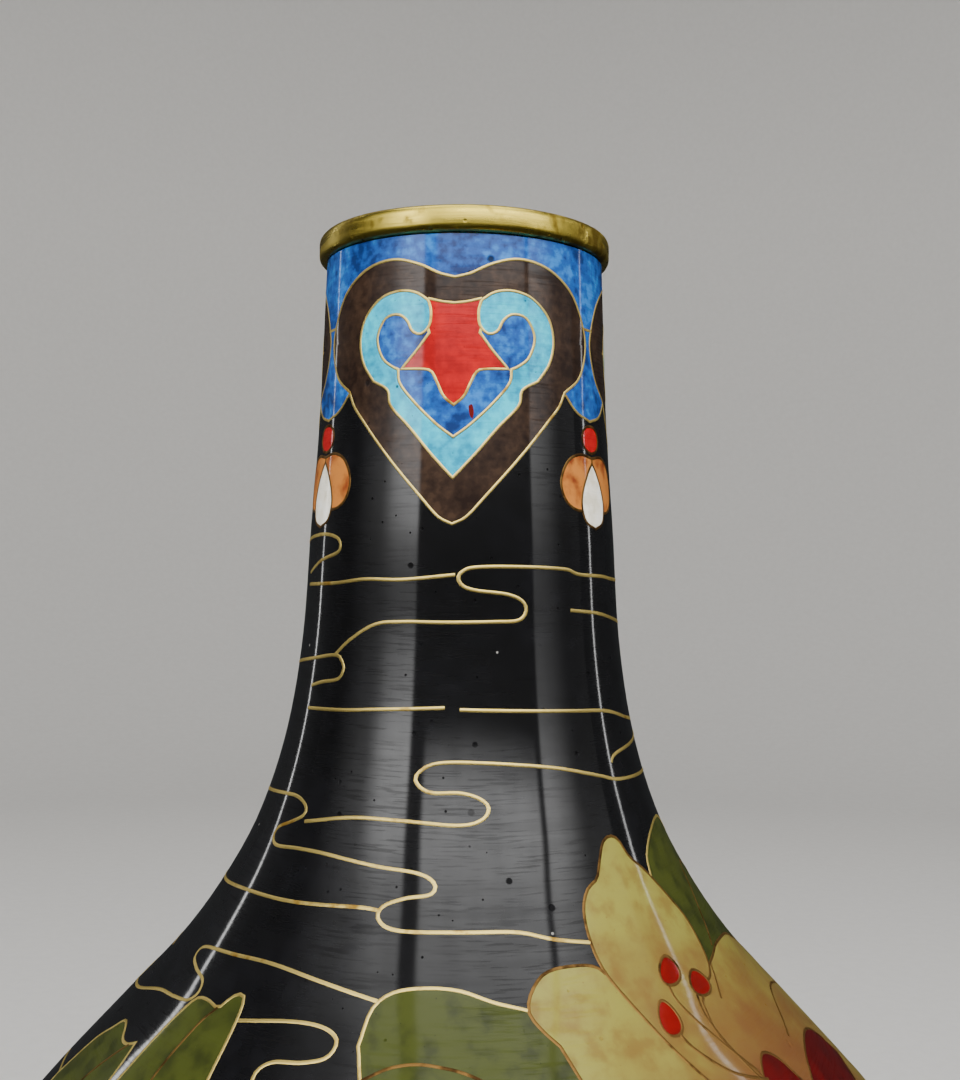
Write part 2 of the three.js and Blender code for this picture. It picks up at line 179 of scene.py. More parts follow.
# %% Smooth runs
def smooth(points, spacing):
    """A smooth open curve through [angle, height] points, evenly spaced in millimetres."""
    knots = np.array(points, float)
    if len(knots) < 2:
        return knots
    before = 2 * knots[0] - knots[1]
    after = 2 * knots[-1] - knots[-2]
    p = np.vstack([before, knots, after])
    t = np.linspace(0, 1, 17)[:-1, None]
    spans = []
    for a, b, c, d in zip(p[:-3], p[1:-2], p[2:-1], p[3:]):
        spans.append(b + 0.5 * t * (c - a + t * (2 * a - 5 * b + 4 * c - d
                                                 + t * (3 * (b - c) + d - a))))
    line = np.vstack(spans + [knots[-1:]])
    step = np.diff(line, axis=0)
    step[:, 0] *= mm_per_degree(line[:-1, 1])
    reach = np.concatenate([[0], np.cumsum(np.hypot(*step.T))])
    count = max(2, int(np.ceil(reach[-1] / spacing)) + 1)
    at = np.linspace(0, reach[-1], count)
    return np.stack([np.interp(at, reach, line[:, 0]), np.interp(at, reach, line[:, 1])], -1)


def run_on(runs, last):
    """Ends each run where the next one starts."""
    return [list(run) + [nxt] for run, nxt in zip(runs, [r[0] for r in runs[1:]] + [last])]


def closed(runs, spacing=0.7):
    return np.vstack([smooth(run, spacing)[:-1] for run in run_on(runs, runs[0][0])])


def symmetrical(runs, spacing=0.7):
    """A closed outline from its right-hand side, which runs from the middle to the middle."""
    right = run_on(runs[:-1] + [runs[-1][:-1]], runs[-1][-1])
    left = [[(-a, z) for a, z in reversed(run)] for run in reversed(right)]
    return np.vstack([smooth(run, spacing)[:-1] for run in right + left])


def below_ring(runs):
    return [[(a, ring_bottom - drop) for a, drop in run] for run in runs]


def above_belly(runs):
    return [[(a, belly_height + rise) for a, rise in run] for run in runs]


def turned(outline, angle):
    return outline + np.array([angle, 0])


def mirrored(outline):
    return outline[::-1] * np.array([-1, 1])


print("points of a smooth bend:", len(smooth([(0, 60), (20, 70), (40, 60)], 0.7)))

# %% [markdown]
# ## The order of the layers
#
# In the drawing some shapes pass under others, as a leaf passes behind a petal. Each shape is
# added to one list with what lies on top first, and a shape only shows where nothing before it
# covers it. So shapes can be drawn whole and simple, and no shared edge is drawn twice.

# %% The list of shapes
shapes = []


def add_shape(piece, outline, wired=True, pull=None):
    """Adds an outline to a piece. pull is the [angle, height] that its colour fades from."""
    shapes.append({"piece": piece, "outline": outline, "wired": wired, "pull": pull})
    return len(shapes) - 1


veins = []


def add_vein(points, layer, width=0.34):
    """A wire laid on a shape, hidden only by the shapes that come before it."""
    veins.append({"line": smooth(points, 0.5), "layer": layer, "width": width})


print("shapes to begin with:", len(shapes))

# %% [markdown]
# ## The neck
#
# Three heart-shaped lappets hang round the neck from a blue collar. Each is a brown band round a
# turquoise scroll, whose ends curl in over a red heart on a blue field. Between each two lappets
# the collar comes down in a drop with a pendant under it: a red bead, then a white bud between
# two ochre petals. One lappet and one pendant are drawn and turned into place.

# %% Lappets
lappets = 3
scroll_edge = [(15, 7.1), (22, 6.8), (30, 7.5), (37, 9.6), (39.3, 12.3), (37.4, 15), (32, 17.4)]
scroll_point = [(25.5, 18.6), (23.9, 20.5), (16, 23.2), (8, 26.3)]
scroll_curl = [
    (10, 8.1), (8.9, 9.4), (9.4, 11.1), (12.5, 12.1), (16, 11.7), (18.2, 10.4), (22, 9.6),
    (27.5, 10), (30.8, 12.2), (28.4, 14.6), (24, 15.8)]
scroll = symmetrical(below_ring([
    [(0, 29.2)] + scroll_point[::-1], scroll_edge[::-1], scroll_curl,
    [(21.3, 16.2), (20.4, 17.9), (14, 20.4), (6, 22.9), (0, 24.4)],
]), 0.5)
heart = symmetrical(below_ring([
    [(0, 8.5), (5, 8.3)], [(10, 7.9), (11, 10)], [(9.4, 12.0), (14, 14)],
    [(20, 16.2), (12, 16.3), (8.4, 16.6)], [(6, 18), (3.6, 19.6), (0, 20.6)],
]), 0.5)
field = symmetrical(below_ring([
    [(0, 8.8), (10, 8.8)], [(15, 7.8), (30, 8.4), (38, 12.3), (30, 17)],
    [(24, 18.8), (14, 22.5), (0, 27)],
]), 0.5)
lappet = symmetrical(below_ring([
    [(0, 5.4), (6, 4.9), (14, 3.7), (25, 2.9), (38, 3.7), (50, 6.2), (57, 10), (58, 12.8),
     (53.5, 16.2)],
    [(44.5, 18.4), (41.5, 20.2), (36, 22.2), (25, 26.3), (12, 31.1), (5, 33.7), (0, 34.6)],
]), 0.6)
# A crumb of red glass that fell into the blue under the front heart.
crumb = closed(below_ring([
    [(5.3, 20.7), (6.6, 20.5), (7.3, 21.4)], [(6.8, 22.3), (5.7, 21.7)]]), 0.2)
add_shape("lappet_crumb", crumb, wired=False)
for i in range(lappets):
    place = i * 360 / lappets
    add_shape("lappet_scrolls", turned(scroll, place))
    add_shape("lappet_hearts", turned(heart, place))
    add_shape("lappet_fields", turned(field, place))
    add_shape("lappet_bands", turned(lappet, place))
print("lappet outline points:", len(lappet))

# %% Collar and pendants
bead = symmetrical(below_ring([
    [(0, 22), (3.2, 22.2), (5.6, 23), (5.8, 24.2), (3.4, 25.1), (0, 25.4)]]), 0.4)
bud = symmetrical(below_ring([
    [(0, 26.6), (3.4, 27.9), (7, 30), (8.2, 32), (6, 33.9), (0, 34.7)]]), 0.5)
petal = closed(below_ring([
    [(0, 26), (8, 25.7), (15, 26.7), (18.8, 29.2), (16.4, 31.6), (9.6, 32.6)],
    [(2, 32), (1, 28)],
]), 0.5)
drop = symmetrical(below_ring([
    [(0, 10), (20, 10)], [(20, 14)], [(16.4, 18.2), (9, 20.5), (0, 21.4)]]), 0.6)
collar_band = np.array([(-180, ring_bottom - 12), (180, ring_bottom - 12),
                        (180, ring_bottom), (-180, ring_bottom)], float)
for i in range(lappets):
    place = (i + 0.5) * 360 / lappets
    add_shape("pendant_beads", turned(bead, place))
    add_shape("pendant_buds", turned(bud, place))
    add_shape("pendant_petals", turned(petal, place))
    add_shape("pendant_petals", turned(mirrored(petal), place))
    add_shape("collar", turned(drop, place))
add_shape("collar", collar_band, wired=False)
print("shapes on the neck:", len(shapes))

# %% [markdown]
# ## The shoulder and belly
#
# A spray of lilies spreads over the shoulder, once in front and once behind. The large
# lily has stamens with red heads, a red throat, and leaves behind it. Lower on the belly smaller
# lilies are drawn by two small functions, which lay a petal or a leaf from a point, a length and a
# direction, in millimetres along the wall.

# %% The large lily
lily_heart = (62, 54)
anthers = [(42, 69.6, 2.3, 1.5, 0.2), (48, 73.3, 2.9, 1.3, 0.5), (54.6, 71.4, 2.9, 1.2, 0)]
filaments = [
    [(42.4, 68.2), (44, 66.6), (48.5, 64.2), (55, 62.5)],
    [(46, 72.7), (46, 70.6), (49.5, 67.2), (54, 63.4)],
    [(52.2, 71), (50.6, 68.8), (51.6, 65.6), (54, 62)],
]
throat = [
    [(51, 60), (54.5, 63), (58, 64.3), (61.4, 63), (64, 59.4)],
    [(66, 60.3), (71, 61.8), (78, 62.3), (84, 61)], [(88, 57.5), (80, 55), (66, 50), (56, 53)],
]
petals = {
    "top": [
        [(62, 54), (50, 58.5), (41.5, 65.5), (36.5, 70.5), (32.4, 74.6), (31.4, 77.6),
         (32.1, 80.4), (34.6, 82.2), (38.1, 83.1)],
        [(40.6, 84.8), (43.4, 86.6), (46.7, 87.1), (49.5, 86.5), (51.6, 84.6), (56, 82.7),
         (60.7, 79.6), (63.5, 77), (63.3, 74.6), (61.8, 72.6), (59.1, 71.4), (56.3, 71.1)],
        [(52, 69.8), (50.6, 67.2), (52.1, 64.9), (54, 63)],
    ],
    "right": [
        [(62, 54), (47, 65)],
        [(50, 71), (56, 71.4), (59, 71.8), (61.8, 72.3), (65, 72.7), (72, 73.3), (84, 72.4),
         (95, 68.6), (103, 63)],
        [(109, 54.6), (98, 53), (84, 52.6)],
    ],
    "left": [
        [(62, 54), (50, 58.5), (41.5, 65.5), (36.5, 70.5)],
        [(34, 73), (31, 75), (25, 75.4), (20, 75), (17, 73.6), (15.8, 72), (17.2, 70.6)],
        [(20, 69), (24, 64), (32, 58), (46, 52.5)],
    ],
    "lower_left": [[(62, 54), (46, 52.5), (34, 46), (28, 36)],
                   [(27, 26), (37, 25), (48, 32), (57, 43)]],
    "lower_right": [[(62, 54), (57, 43), (58, 31), (65, 20)],
                    [(73, 13), (82, 21), (87, 34), (82, 46)]],
}
petal_veins = {
    "right": [[(69.7, 63.7), (77.5, 66), (84, 66.4), (92, 65)],
              [(62.4, 72.4), (60.4, 71), (57.9, 69.4)]],
    "lower_left": [[(33, 31), (42, 38), (52, 47)]],
    "lower_right": [[(73, 19), (71, 32), (68, 44)]],
}
leaves = [
    ([[(58, 60), (55, 76), (58, 82.8), (61.7, 84.9), (68.1, 86.4), (76, 87.2), (84, 86.6),
       (97, 82.6), (105, 77)], [(112, 69), (98, 66), (80, 62)]],
     [(67.8, 73.4), (71.1, 75), (76.7, 78.3), (84, 81.3), (98, 77.5)]),
    ([[(-12.3, 69), (-11.4, 72), (-8, 73.5), (-2, 74), (4, 73.8), (10, 72.8), (17, 71.8)],
      [(24, 70)], [(33, 60), (22, 57.5), (12, 58.5), (0, 61.5), (-9, 65)]],
     [(-11, 66.4), (-6, 67.7), (0, 67.9), (8, 66.6), (20, 62)]),
    ([[(-53.7, 60), (-52, 66), (-50.2, 68.8), (-48.5, 69.6), (-45.5, 69.7), (-42.3, 69.5)],
      [(-41, 70.3), (-39.6, 71), (-38, 71.1), (-37, 70.5), (-36.1, 68.5), (-35.2, 65), (-34.6, 61),
       (-37, 54)], [(-44, 48), (-51, 53)]],
     [(-42.3, 69.5), (-43.9, 68.2), (-44.7, 66.9), (-45.6, 64.4), (-46, 61)]),
    ([[(-76, 56), (-73, 60.6), (-69, 63), (-66.7, 64.2), (-64.3, 64.1), (-61.5, 63.4),
       (-58.9, 63.4)], [(-56.4, 64), (-55.6, 61.8), (-55.4, 58), (-58, 51)],
      [(-66, 44), (-73, 49)]],
     [(-57.9, 63.6), (-60.7, 61.6), (-63.1, 59.1), (-66, 54)]),
]


def oval(angle, rise, half_degrees, half_height, lean):
    turn = np.linspace(0, 2 * np.pi, 22)[:-1]
    up = np.sin(turn) * half_height
    across = np.cos(turn) * half_degrees * (1 - 0.25 * np.sin(turn)) + lean * up
    return np.stack([angle + across, belly_height + rise + up], -1)


def lay_large_lily(turn):
    """The lily with its leaves, at one side of the vase."""
    def at(points):
        return [(a + turn, belly_height + rise) for a, rise in points]

    pull = (lily_heart[0] + turn, belly_height + lily_heart[1])
    for anther in anthers:
        add_shape("lily_anthers", turned(oval(*anther), turn))
    above = len(shapes)
    for line in filaments:
        add_vein(at(line), above, 0.38)
    add_shape("lily_throats", turned(closed(above_belly(throat)), turn), pull=pull)
    for name, runs in petals.items():
        layer = add_shape("lily_petals", turned(closed(above_belly(runs), 0.8), turn), pull=pull)
        for line in petal_veins.get(name, []):
            add_vein(at(line), layer)
    for runs, vein in leaves:
        layer = add_shape("leaves", turned(closed(above_belly(runs), 0.8), turn), pull=pull)
        add_vein(at(vein), layer)


back_lily = 150     # degrees from the large lily at the front to the one behind
lay_large_lily(0)
lay_large_lily(back_lily)
print("shapes so far:", len(shapes), "veins:", len(veins))

# %% [markdown]
# ## Smaller flowers and leaves
#
# Flowers lower on the belly are repeats, so they are laid by functions. A petal is drawn in
# millimetres from the flower's heart and then turned, and each point is moved onto the wall,
# where a degree is worth more near the widest place and a millimetre of height less on a slope.

# %% Laying a shape from a point
def lay(points, angle, z, lean):
    """Millimetres to the right and along the wall, turned by lean, as angles and heights."""
    p = np.array(points, float)
    turn = math.radians(lean)
    right = p[:, 0] * math.cos(turn) - p[:, 1] * math.sin(turn)
    up = p[:, 0] * math.sin(turn) + p[:, 1] * math.cos(turn)
    slope = (body_radius(z + 1) - body_radius(z - 1)) / 2
    heights = z + up / math.hypot(1, slope)
    return [(angle + r / mm_per_degree(h), h) for r, h in zip(right, heights)]


def lay_leaf(angle, z, length, width, lean):
    side = [(width * w, length * share) for share, w in
            [(0.12, 0.22), (0.4, 0.5), (0.7, 0.36)]]
    other = [(-x * 0.9, y) for x, y in reversed(side)]
    runs = [[(0, 0)] + side, [(width * 0.1, length)] + other]
    layer = add_shape("leaves", closed([lay(run, angle, z, lean) for run in runs], 0.9),
                      pull=(angle, z))
    add_vein(lay([(0, length * 0.12), (width * 0.06, length * 0.5), (0, length * 0.86)],
                 angle, z, lean), layer, 0.35)


def lay_small_lily(angle, z, size, lean):
    for k, away in enumerate((-24, 4, 30)):
        x = size * 0.42 * math.sin(math.radians(away))
        y = size * 0.42 * math.cos(math.radians(away))
        head = [(x - 1.1, y), (x, y + 1.5), (x + 1.1, y), (x, y - 1.3)]
        add_shape("lily_anthers", closed([lay(head, angle, z, lean)], 0.5))
        add_vein(lay([(0, size * 0.1), (x * 0.8, y * 0.6), (x, y - 1)], angle, z, lean),
                 len(shapes))
    disc = [(-size * 0.12, 0), (0, size * 0.17), (size * 0.12, 0), (0, -size * 0.12)]
    add_shape("lily_throats", closed([lay(disc, angle, z, lean)], 0.6), pull=(angle, z))
    for away, long, wide in ((0, 1, 0.44), (68, 0.92, 0.42), (-66, 0.92, 0.42),
                             (142, 0.86, 0.38), (-140, 0.84, 0.38)):
        reach, half = size * long, size * wide / 2
        runs = [[(0, 0), (half * 0.8, reach * 0.3), (half, reach * 0.6),
                 (half * 0.6, reach * 0.88)],
                [(half * 0.06, reach), (-half * 0.7, reach * 0.84), (-half, reach * 0.55),
                 (-half * 0.7, reach * 0.25)]]
        layer = add_shape("lily_petals", closed([lay(run, angle, z, lean + away) for run in runs],
                                                0.9), pull=(angle, z))
        add_vein(lay([(0, reach * 0.25), (half * 0.1, reach * 0.75)], angle, z, lean + away),
                 layer, 0.35)


def lay_stem(points, width, turn):
    """A thin green cell along a line of [angle, height above the belly] points."""
    line = smooth([(a + turn, belly_height + rise) for a, rise in points], 1.2)
    scale = np.stack([mm_per_degree(line[:, 1]), np.ones(len(line))], -1)
    way = np.gradient(line * scale, axis=0)
    way /= np.linalg.norm(way, axis=1)[:, None]
    aside = np.stack([-way[:, 1], way[:, 0]], -1) * width / 2 / scale
    add_shape("stems", np.vstack([line - aside, (line + aside)[::-1]]))


print("a leaf's tip lands at", np.round(lay([(0, 30)], 0, belly_height, 45), 1))

# %% Sprays on the belly
for turn, lily in ((0, 0), (180, back_lily - 180)):
    lay_small_lily(-30 + turn, belly_height + 8, 27, 14)
    lay_small_lily(12 + turn, belly_height - 22, 24, -28)
    lay_leaf(-50 + turn, belly_height + 22, 30, 15, 48)
    lay_leaf(-10 + turn, belly_height + 32, 34, 15, -38)
    lay_leaf(-48 + turn, belly_height - 12, 32, 15, 120)
    lay_leaf(-12 + turn, belly_height - 6, 30, 14, -110)
    lay_leaf(38 + turn, belly_height - 8, 32, 15, -52)
    lay_leaf(30 + turn, belly_height - 36, 28, 13, -100)
    lay_leaf(110 + turn, belly_height + 20, 26, 13, 30)
    lay_leaf(100 + turn, belly_height + 8, 34, 16, -48)
    lay_leaf(88 + turn, belly_height - 14, 30, 14, -140)
    lay_small_lily(118 + turn, belly_height - 12, 22, 30)
    lay_stem([(62 + lily, 52), (48, 22), (30, -6), (14, -20)], 2.2, turn)
    lay_stem([(44, 14), (16, 22), (-12, 18), (-30, 8)], 2.0, turn)
    lay_stem([(66 + lily, 40), (92, 20), (110, 2), (118, -12)], 2.0, turn)
    lay_stem([(-14, 20), (-34, 30), (-44 + lily, 48)], 1.6, turn)
print("shapes with the belly:", len(shapes))

# %% A border of petals above the foot
border_count = 16
border_low, border_high = foot_top + 1.6, foot_top + 17
for i in range(border_count):
    middle = i * 360 / border_count
    half = 180 / border_count
    for piece, inset in (("border_eyes", 0.5), ("border_petals", 0.0)):
        w = half * (1 - inset)
        rise = (border_high - border_low) * (1 - inset * 0.7)
        outline = symmetrical([
            [(0, border_low + rise), (w * 0.45, border_low + rise * 0.86),
             (w * 0.96, border_low + rise * 0.5)],
            [(w * 0.96, border_low), (0, border_low)],
        ], 0.8)
        add_shape(piece, turned(outline, middle))
print("shapes with the border:", len(shapes))

# %% [markdown]
# ## Clouds
#
# Free wires stand in the black ground as drifting clouds. They also hold the glass: a wide cell
# without wires would crack as it cools. Each is a long level line that doubles back on itself.
# Those on the neck and shoulder are drawn one by one, and those on the belly by a function.

# %% Clouds on the neck and shoulder
clouds = [
    [(-68.5, 40.3), (-56.5, 38.8), (-46.5, 38), (-44.2, 37.2), (-46.5, 36.1), (-56.5, 35.6),
     (-76, 36.1), (-86, 36.8)],
    [(-68.5, 41.8), (-46.5, 41.6), (-31.5, 41.1), (-16.5, 41.1), (1.3, 40.5)],
    [(90, 41), (73.5, 40.8), (63.5, 40.5), (48.5, 40.3), (41.5, 39.7), (23.5, 39.5),
     (8.5, 39.6), (3.8, 40.1), (2.4, 40.9), (4, 41.8), (8.5, 42.3), (18.5, 42.7), (23.8, 43.4),
     (25.5, 44.5), (22.8, 45.7), (13.5, 45.9), (-1.5, 46), (-16.5, 46), (-26.5, 46.4),
     (-36.5, 48.3), (-43, 50.1)],
    [(-88, 52), (-76, 51.6), (-56.5, 50.8), (-43, 50.2), (-39.5, 50.8), (-38.2, 51.8),
     (-40.5, 53), (-48.5, 53.5), (-55.5, 54.1)],
    [(43.5, 44.6), (58.5, 45), (73.5, 45.8), (88, 46.4)],
    [(-55.5, 56.8), (-36.5, 56.5), (-21.5, 56.1), (-1.3, 55.7)],
    [(3.3, 55.9), (23.5, 56.1), (43.5, 56.4), (58.5, 56.8), (73.5, 58), (84, 58.6)],
    [(92, 60.2), (78.5, 61), (63.5, 61.6), (57.5, 62.1), (55.8, 62.8)],
    [(92, 65.3), (83.5, 65.1), (58.5, 64.8), (48.5, 64), (33.5, 62.7), (18.5, 62), (3.5, 61.7),
     (-4.5, 62), (-8.6, 63.1), (-8.4, 64.1), (-4.5, 65), (3.5, 65), (8.9, 65.6), (11.3, 66.6),
     (9.5, 67.8), (3.5, 68.4), (-11.5, 68.1), (-26.5, 68.2), (-42.5, 69.4)],
    [(-88, 68.3), (-76, 67.7), (-56.5, 67), (-48.5, 67), (-43.8, 67.8), (-43.8, 68.8),
     (-48.5, 69.8), (-53.6, 70.7), (-54.8, 71.8), (-51.5, 72.6), (-41.5, 72.3), (-31.5, 72.3),
     (-16.5, 72.9), (-6.5, 73.3), (-2.2, 74.2), (-2.8, 75.3), (-8.5, 75.8), (-13.3, 76.7),
     (-13.8, 77.9), (-9.5, 78.8), (3.5, 78.8), (15.5, 78.9), (23.5, 79.8), (33, 80.6)],
    [(-90, 79.2), (-76, 78.8), (-56.5, 77.9), (-36.5, 77.5), (-20, 77), (-13.6, 77.1)],
    [(-86, 93), (-76, 91.8), (-64.5, 89.8), (-56.5, 89.2), (-51.5, 88.8), (-50, 87.8),
     (-51.5, 86.8), (-56.5, 86.3), (-60.2, 85.6), (-58.5, 84.4), (-46.5, 83.7), (-34.5, 83.4),
     (-21.5, 84.1), (-7, 85.4)],
    [(-38, 88.8), (-26.5, 87.7), (-19.8, 87.6), (-16.2, 88.4), (-16.8, 89.8), (-20.5, 90.5),
     (-25.5, 90.9), (-27.5, 92), (-26, 93.6), (-20, 94.2)],
]
free_wires = []
for turn in (0, 180):
    for line in clouds:
        free_wires.append(smooth([(a + turn, ring_bottom - drop) for a, drop in line], 0.45))
print("clouds above the belly:", len(free_wires))


# %% Clouds on the belly
def cloud(angle, z, long, fold, flip):
    """A level wire that doubles back twice. long and fold are in millimetres."""
    k = 1 / mm_per_degree(z)
    x = np.array([-long, -long * 0.4, 0, fold * 0.6, fold * 0.6, 0, -long * 0.35, -long * 0.35,
                  0, long * 0.7]) * flip
    y = np.array([0, 0.4, 0.2, -0.8, -2.4, -3.4, -4, -6.2, -7.2, -7.4])
    return [(angle + a * k, z + b) for a, b in zip(x, y)]


for row, z in enumerate((146, 134, 122, 108, 92, 74, 56, 42)):
    for column in range(8):
        angle = column * 45 + (row % 2) * 22 + 7 * math.sin(row * 5 + column * 3)
        flip = 1 if (row + column) % 2 else -1
        if row < 2 and abs((angle % 180) - 90) > 62:
            continue
        line = cloud(angle, z + 3 * math.sin(column * 2.4 + row), 0.2 * body_radius(z), 5, flip)
        free_wires.append(smooth(line, 0.7))
print("free wires:", len(free_wires))

# %% [markdown]
# ## Cutting the wall into cells
#
# All the outlines go into one flat triangulation together with a grid of points, which keeps the
# triangles small enough to follow the curve. The triangulation tells which outlines each triangle
# lies in, and the topmost one owns it. Boolean modifiers could cut the cells one at a time, but
# they leave broken shading on a glossy curve. Here every corner keeps the wall's own normal.

# %% The triangulation
degree_scale = 0.6     # the sheet's millimetres to a degree, between the neck's and the belly's
glass_depth = 0.9


def inside(points, outline):
    """Which points lie in an outline, by counting the sides that a line from each one crosses."""
    a, b = outline, np.roll(outline, -1, axis=0)
    near = np.nonzero(((points > a.min(0)) & (points < a.max(0))).all(1))[0]
    x, y = points[near, :1], points[near, 1:]
    crossing = (a[:, 1] > y) != (b[:, 1] > y)
    rise = np.where(b[:, 1] == a[:, 1], 1e-12, b[:, 1] - a[:, 1])
    left = x < (b[:, 0] - a[:, 0]) * (y - a[:, 1]) / rise + a[:, 0]
    hit = np.zeros(len(points), bool)
    hit[near] = (crossing & left).sum(1) % 2 == 1
    return hit


def triangulate(outlines, low, high, across, up):
    """Angles and heights of the corners, triangles, and the first outline that each lies in."""
    columns = np.linspace(-180, 180, across + 1)
    rows = np.linspace(low, high, max(2, int(round((high - low) / up))) + 1)
    grid = np.array([(a, z) for z in rows for a in columns])
    width = len(columns)
    last = len(grid) - width
    edges = [(r * width + side, (r + 1) * width + side)
             for r in range(len(rows) - 1) for side in (0, width - 1)]
    edges += [(row + k, row + k + 1) for row in (0, last) for k in range(width - 1)]
    points, loops = [grid], []
    start = len(grid)
    for k, outline in enumerate(outlines):
        for shift in (-360, 0, 360):
            moved = outline + np.array([shift, 0])
            if moved[:, 0].max() < -180 or moved[:, 0].min() > 180:
                continue
            points.append(moved)
            loops.append((k, moved))
            edges += [(start + i, start + (i + 1) % len(moved)) for i in range(len(moved))]
            start += len(moved)
    sheet = np.vstack(points) * np.array([degree_scale, 1])
    corners, _, triangles, _, _, _ = delaunay_2d_cdt(
        [Vector(p) for p in sheet.tolist()], edges, [], 0, 1e-5)
    corners = np.array([(c.x / degree_scale, c.y) for c in corners])
    triangles = np.array(triangles)
    middles = corners[triangles].mean(1)
    kept = (np.abs(middles[:, 0]) < 180) & (middles[:, 1] > low) & (middles[:, 1] < high)
    triangles, middles = triangles[kept], middles[kept]
    owner = np.full(len(triangles), len(outlines))
    for k, moved in reversed(loops):
        owner[inside(middles, moved)] = k
    return corners, triangles, owner


# %% Plates of glass
def slab(radius_at, corners, triangles, outer=0.0, inner=glass_depth):
    """A closed plate of the wall under some triangles: points, faces, normals and places."""
    used, local = np.unique(triangles, return_inverse=True)
    local = local.reshape(-1, 3)
    spots = corners[used]
    outside = on_wall(radius_at, spots[:, 0], spots[:, 1], outer)
    _, first, weld = np.unique(np.round(outside * 1e7).astype(np.int64), axis=0,
                               return_index=True, return_inverse=True)
    spots, outside = spots[first], outside[first]
    local = weld.reshape(-1)[local]
    good = ((local[:, 0] != local[:, 1]) & (local[:, 1] != local[:, 2])
            & (local[:, 2] != local[:, 0]))
    local = local[good]
    a, b, c = (corners[triangles[good][:, k]] for k in range(3))
    area = (b[:, 0] - a[:, 0]) * (c[:, 1] - a[:, 1]) - (b[:, 1] - a[:, 1]) * (c[:, 0] - a[:, 0])
    local[area < 0] = local[area < 0][:, ::-1]
    inside = on_wall(radius_at, spots[:, 0], spots[:, 1], inner)
    count = len(spots)
    sides = np.vstack([local[:, [0, 1]], local[:, [1, 2]], local[:, [2, 0]]]).astype(np.int64)
    rim = sides[~np.isin(sides[:, 0] * count + sides[:, 1], sides[:, 1] * count + sides[:, 0])]
    walls = np.stack([rim[:, 1], rim[:, 0], rim[:, 0] + count, rim[:, 1] + count], -1)
    out = facing(radius_at, spots[:, 0], spots[:, 1])
    across = np.cross(outside[rim[:, 1]] - outside[rim[:, 0]], out[rim[:, 0]])
    across /= np.linalg.norm(across, axis=1)[:, None] + 1e-12
    normals = [out[local.reshape(-1)], -out[local[:, ::-1].reshape(-1)],
               np.repeat(across, 4, axis=0)]
    faces = local.tolist() + (local[:, ::-1] + count).tolist() + walls.tolist()
    return np.vstack([outside, inside]), faces, np.vstack(normals), np.vstack([spots, spots])


def stack(name, parts):
    """One smooth mesh from several parts, each of points and faces."""
    points = np.vstack([part[0] for part in parts])
    starts = np.cumsum([0] + [len(part[0]) for part in parts])
    faces = [[v + start for v in face] for part, start in zip(parts, starts) for face in part[1]]
    mesh = bpy.data.meshes.new(name)
    mesh.from_pydata(points.tolist(), [], faces)
    mesh.shade_smooth()
    return mesh


def make_piece(name, parts, fades=None, tones=None):
    """One object from several slabs, with a fade and a tone that the finish can read."""
    mesh = stack(name, parts)
    mesh.normals_split_custom_set(np.vstack([part[2] for part in parts]).tolist())
    for title, values in (("fade", fades), ("tone", tones)):
        if values is not None:
            layer = mesh.attributes.new(title, "FLOAT", "POINT")
            layer.data.foreach_set("value", np.concatenate(values).astype(np.float32))
    return new_object(name, mesh)


print("plates ready")

# %% Cut the body
outlines = [shape["outline"] for shape in shapes]
corners, triangles, owner = triangulate(outlines, foot_top, ring_bottom - 0.15,
                                        across=150, up=2.0)
print("corners:", len(corners), "triangles:", len(triangles))


def fade_from(pull, spots, outline):
    """0 at the heart of a flower to 1 at the far end of its petal."""
    def away(p):
        return np.hypot((p[:, 0] - pull[0]) * mm_per_degree(p[:, 1]), (p[:, 1] - pull[1]) * 1.3)
    near = (spots[:, 0] - outline[:, 0].mean() + 180) % 360 - 180 + outline[:, 0].mean()
    return np.clip(away(np.stack([near, spots[:, 1]], -1)) / away(outline).max(), 0, 1)


pieces = {}
for name in dict.fromkeys(shape["piece"] for shape in shapes):
    parts, fades, tones = [], [], []
    for k, shape in enumerate(shapes):
        mine = triangles[owner == k]
        if shape["piece"] != name or not len(mine):
            continue
        part = slab(body_radius, corners, mine)
        parts.append(part)
        spots = part[3]
        pull = shape["pull"]
        fades.append(fade_from(pull, spots, shape["outline"]) if pull else np.zeros(len(spots)))
        tones.append(np.full(len(spots), (k * 0.618) % 1))
    pieces[name] = make_piece(name, parts, fades, tones)
pieces["ground"] = make_piece("ground", [slab(body_radius, corners,
                                              triangles[owner == len(shapes)])])
pieces["ground"].name = "black_ground"
print({name: len(piece.data.polygons) for name, piece in pieces.items()})

# %% [markdown]
# ## The wires
#
# A wire is a flat gilt strip on edge, under half a millimetre wide, ground level with the glass.
# The glass wears a little faster, so the strip stands a hair proud and its soft top catches the
# light. A bevelled curve would be round and would twist, so each strip is swept here along its
# line with its sides square to the wall. A line that passes under another shape is cut there.

# %% Trim lines where shapes cover them
def covered(line, outline, margin=0.25):
    """Which points of a line lie in an outline, or within a margin of its edge, in millimetres."""
    scale = mm_per_degree(line[:, 1].mean())
    p = line * np.array([scale, 1])
    q = outline * np.array([scale, 1])
    hit = inside(p, q)
    near = np.nonzero(((p > q.min(0) - 1) & (p < q.max(0) + 1)).all(1))[0]
    if not len(near):
        return hit
    a, along = q, np.roll(q, -1, axis=0) - q
    x, y = p[near, :1], p[near, 1:]
    share = ((x - a[:, 0]) * along[:, 0] + (y - a[:, 1]) * along[:, 1])
    share = np.clip(share / ((along ** 2).sum(1) + 1e-12), 0, 1)
    gap = np.hypot(x - a[:, 0] - share * along[:, 0], y - a[:, 1] - share * along[:, 1]).min(1)
    hit[near] |= gap < margin
    return hit


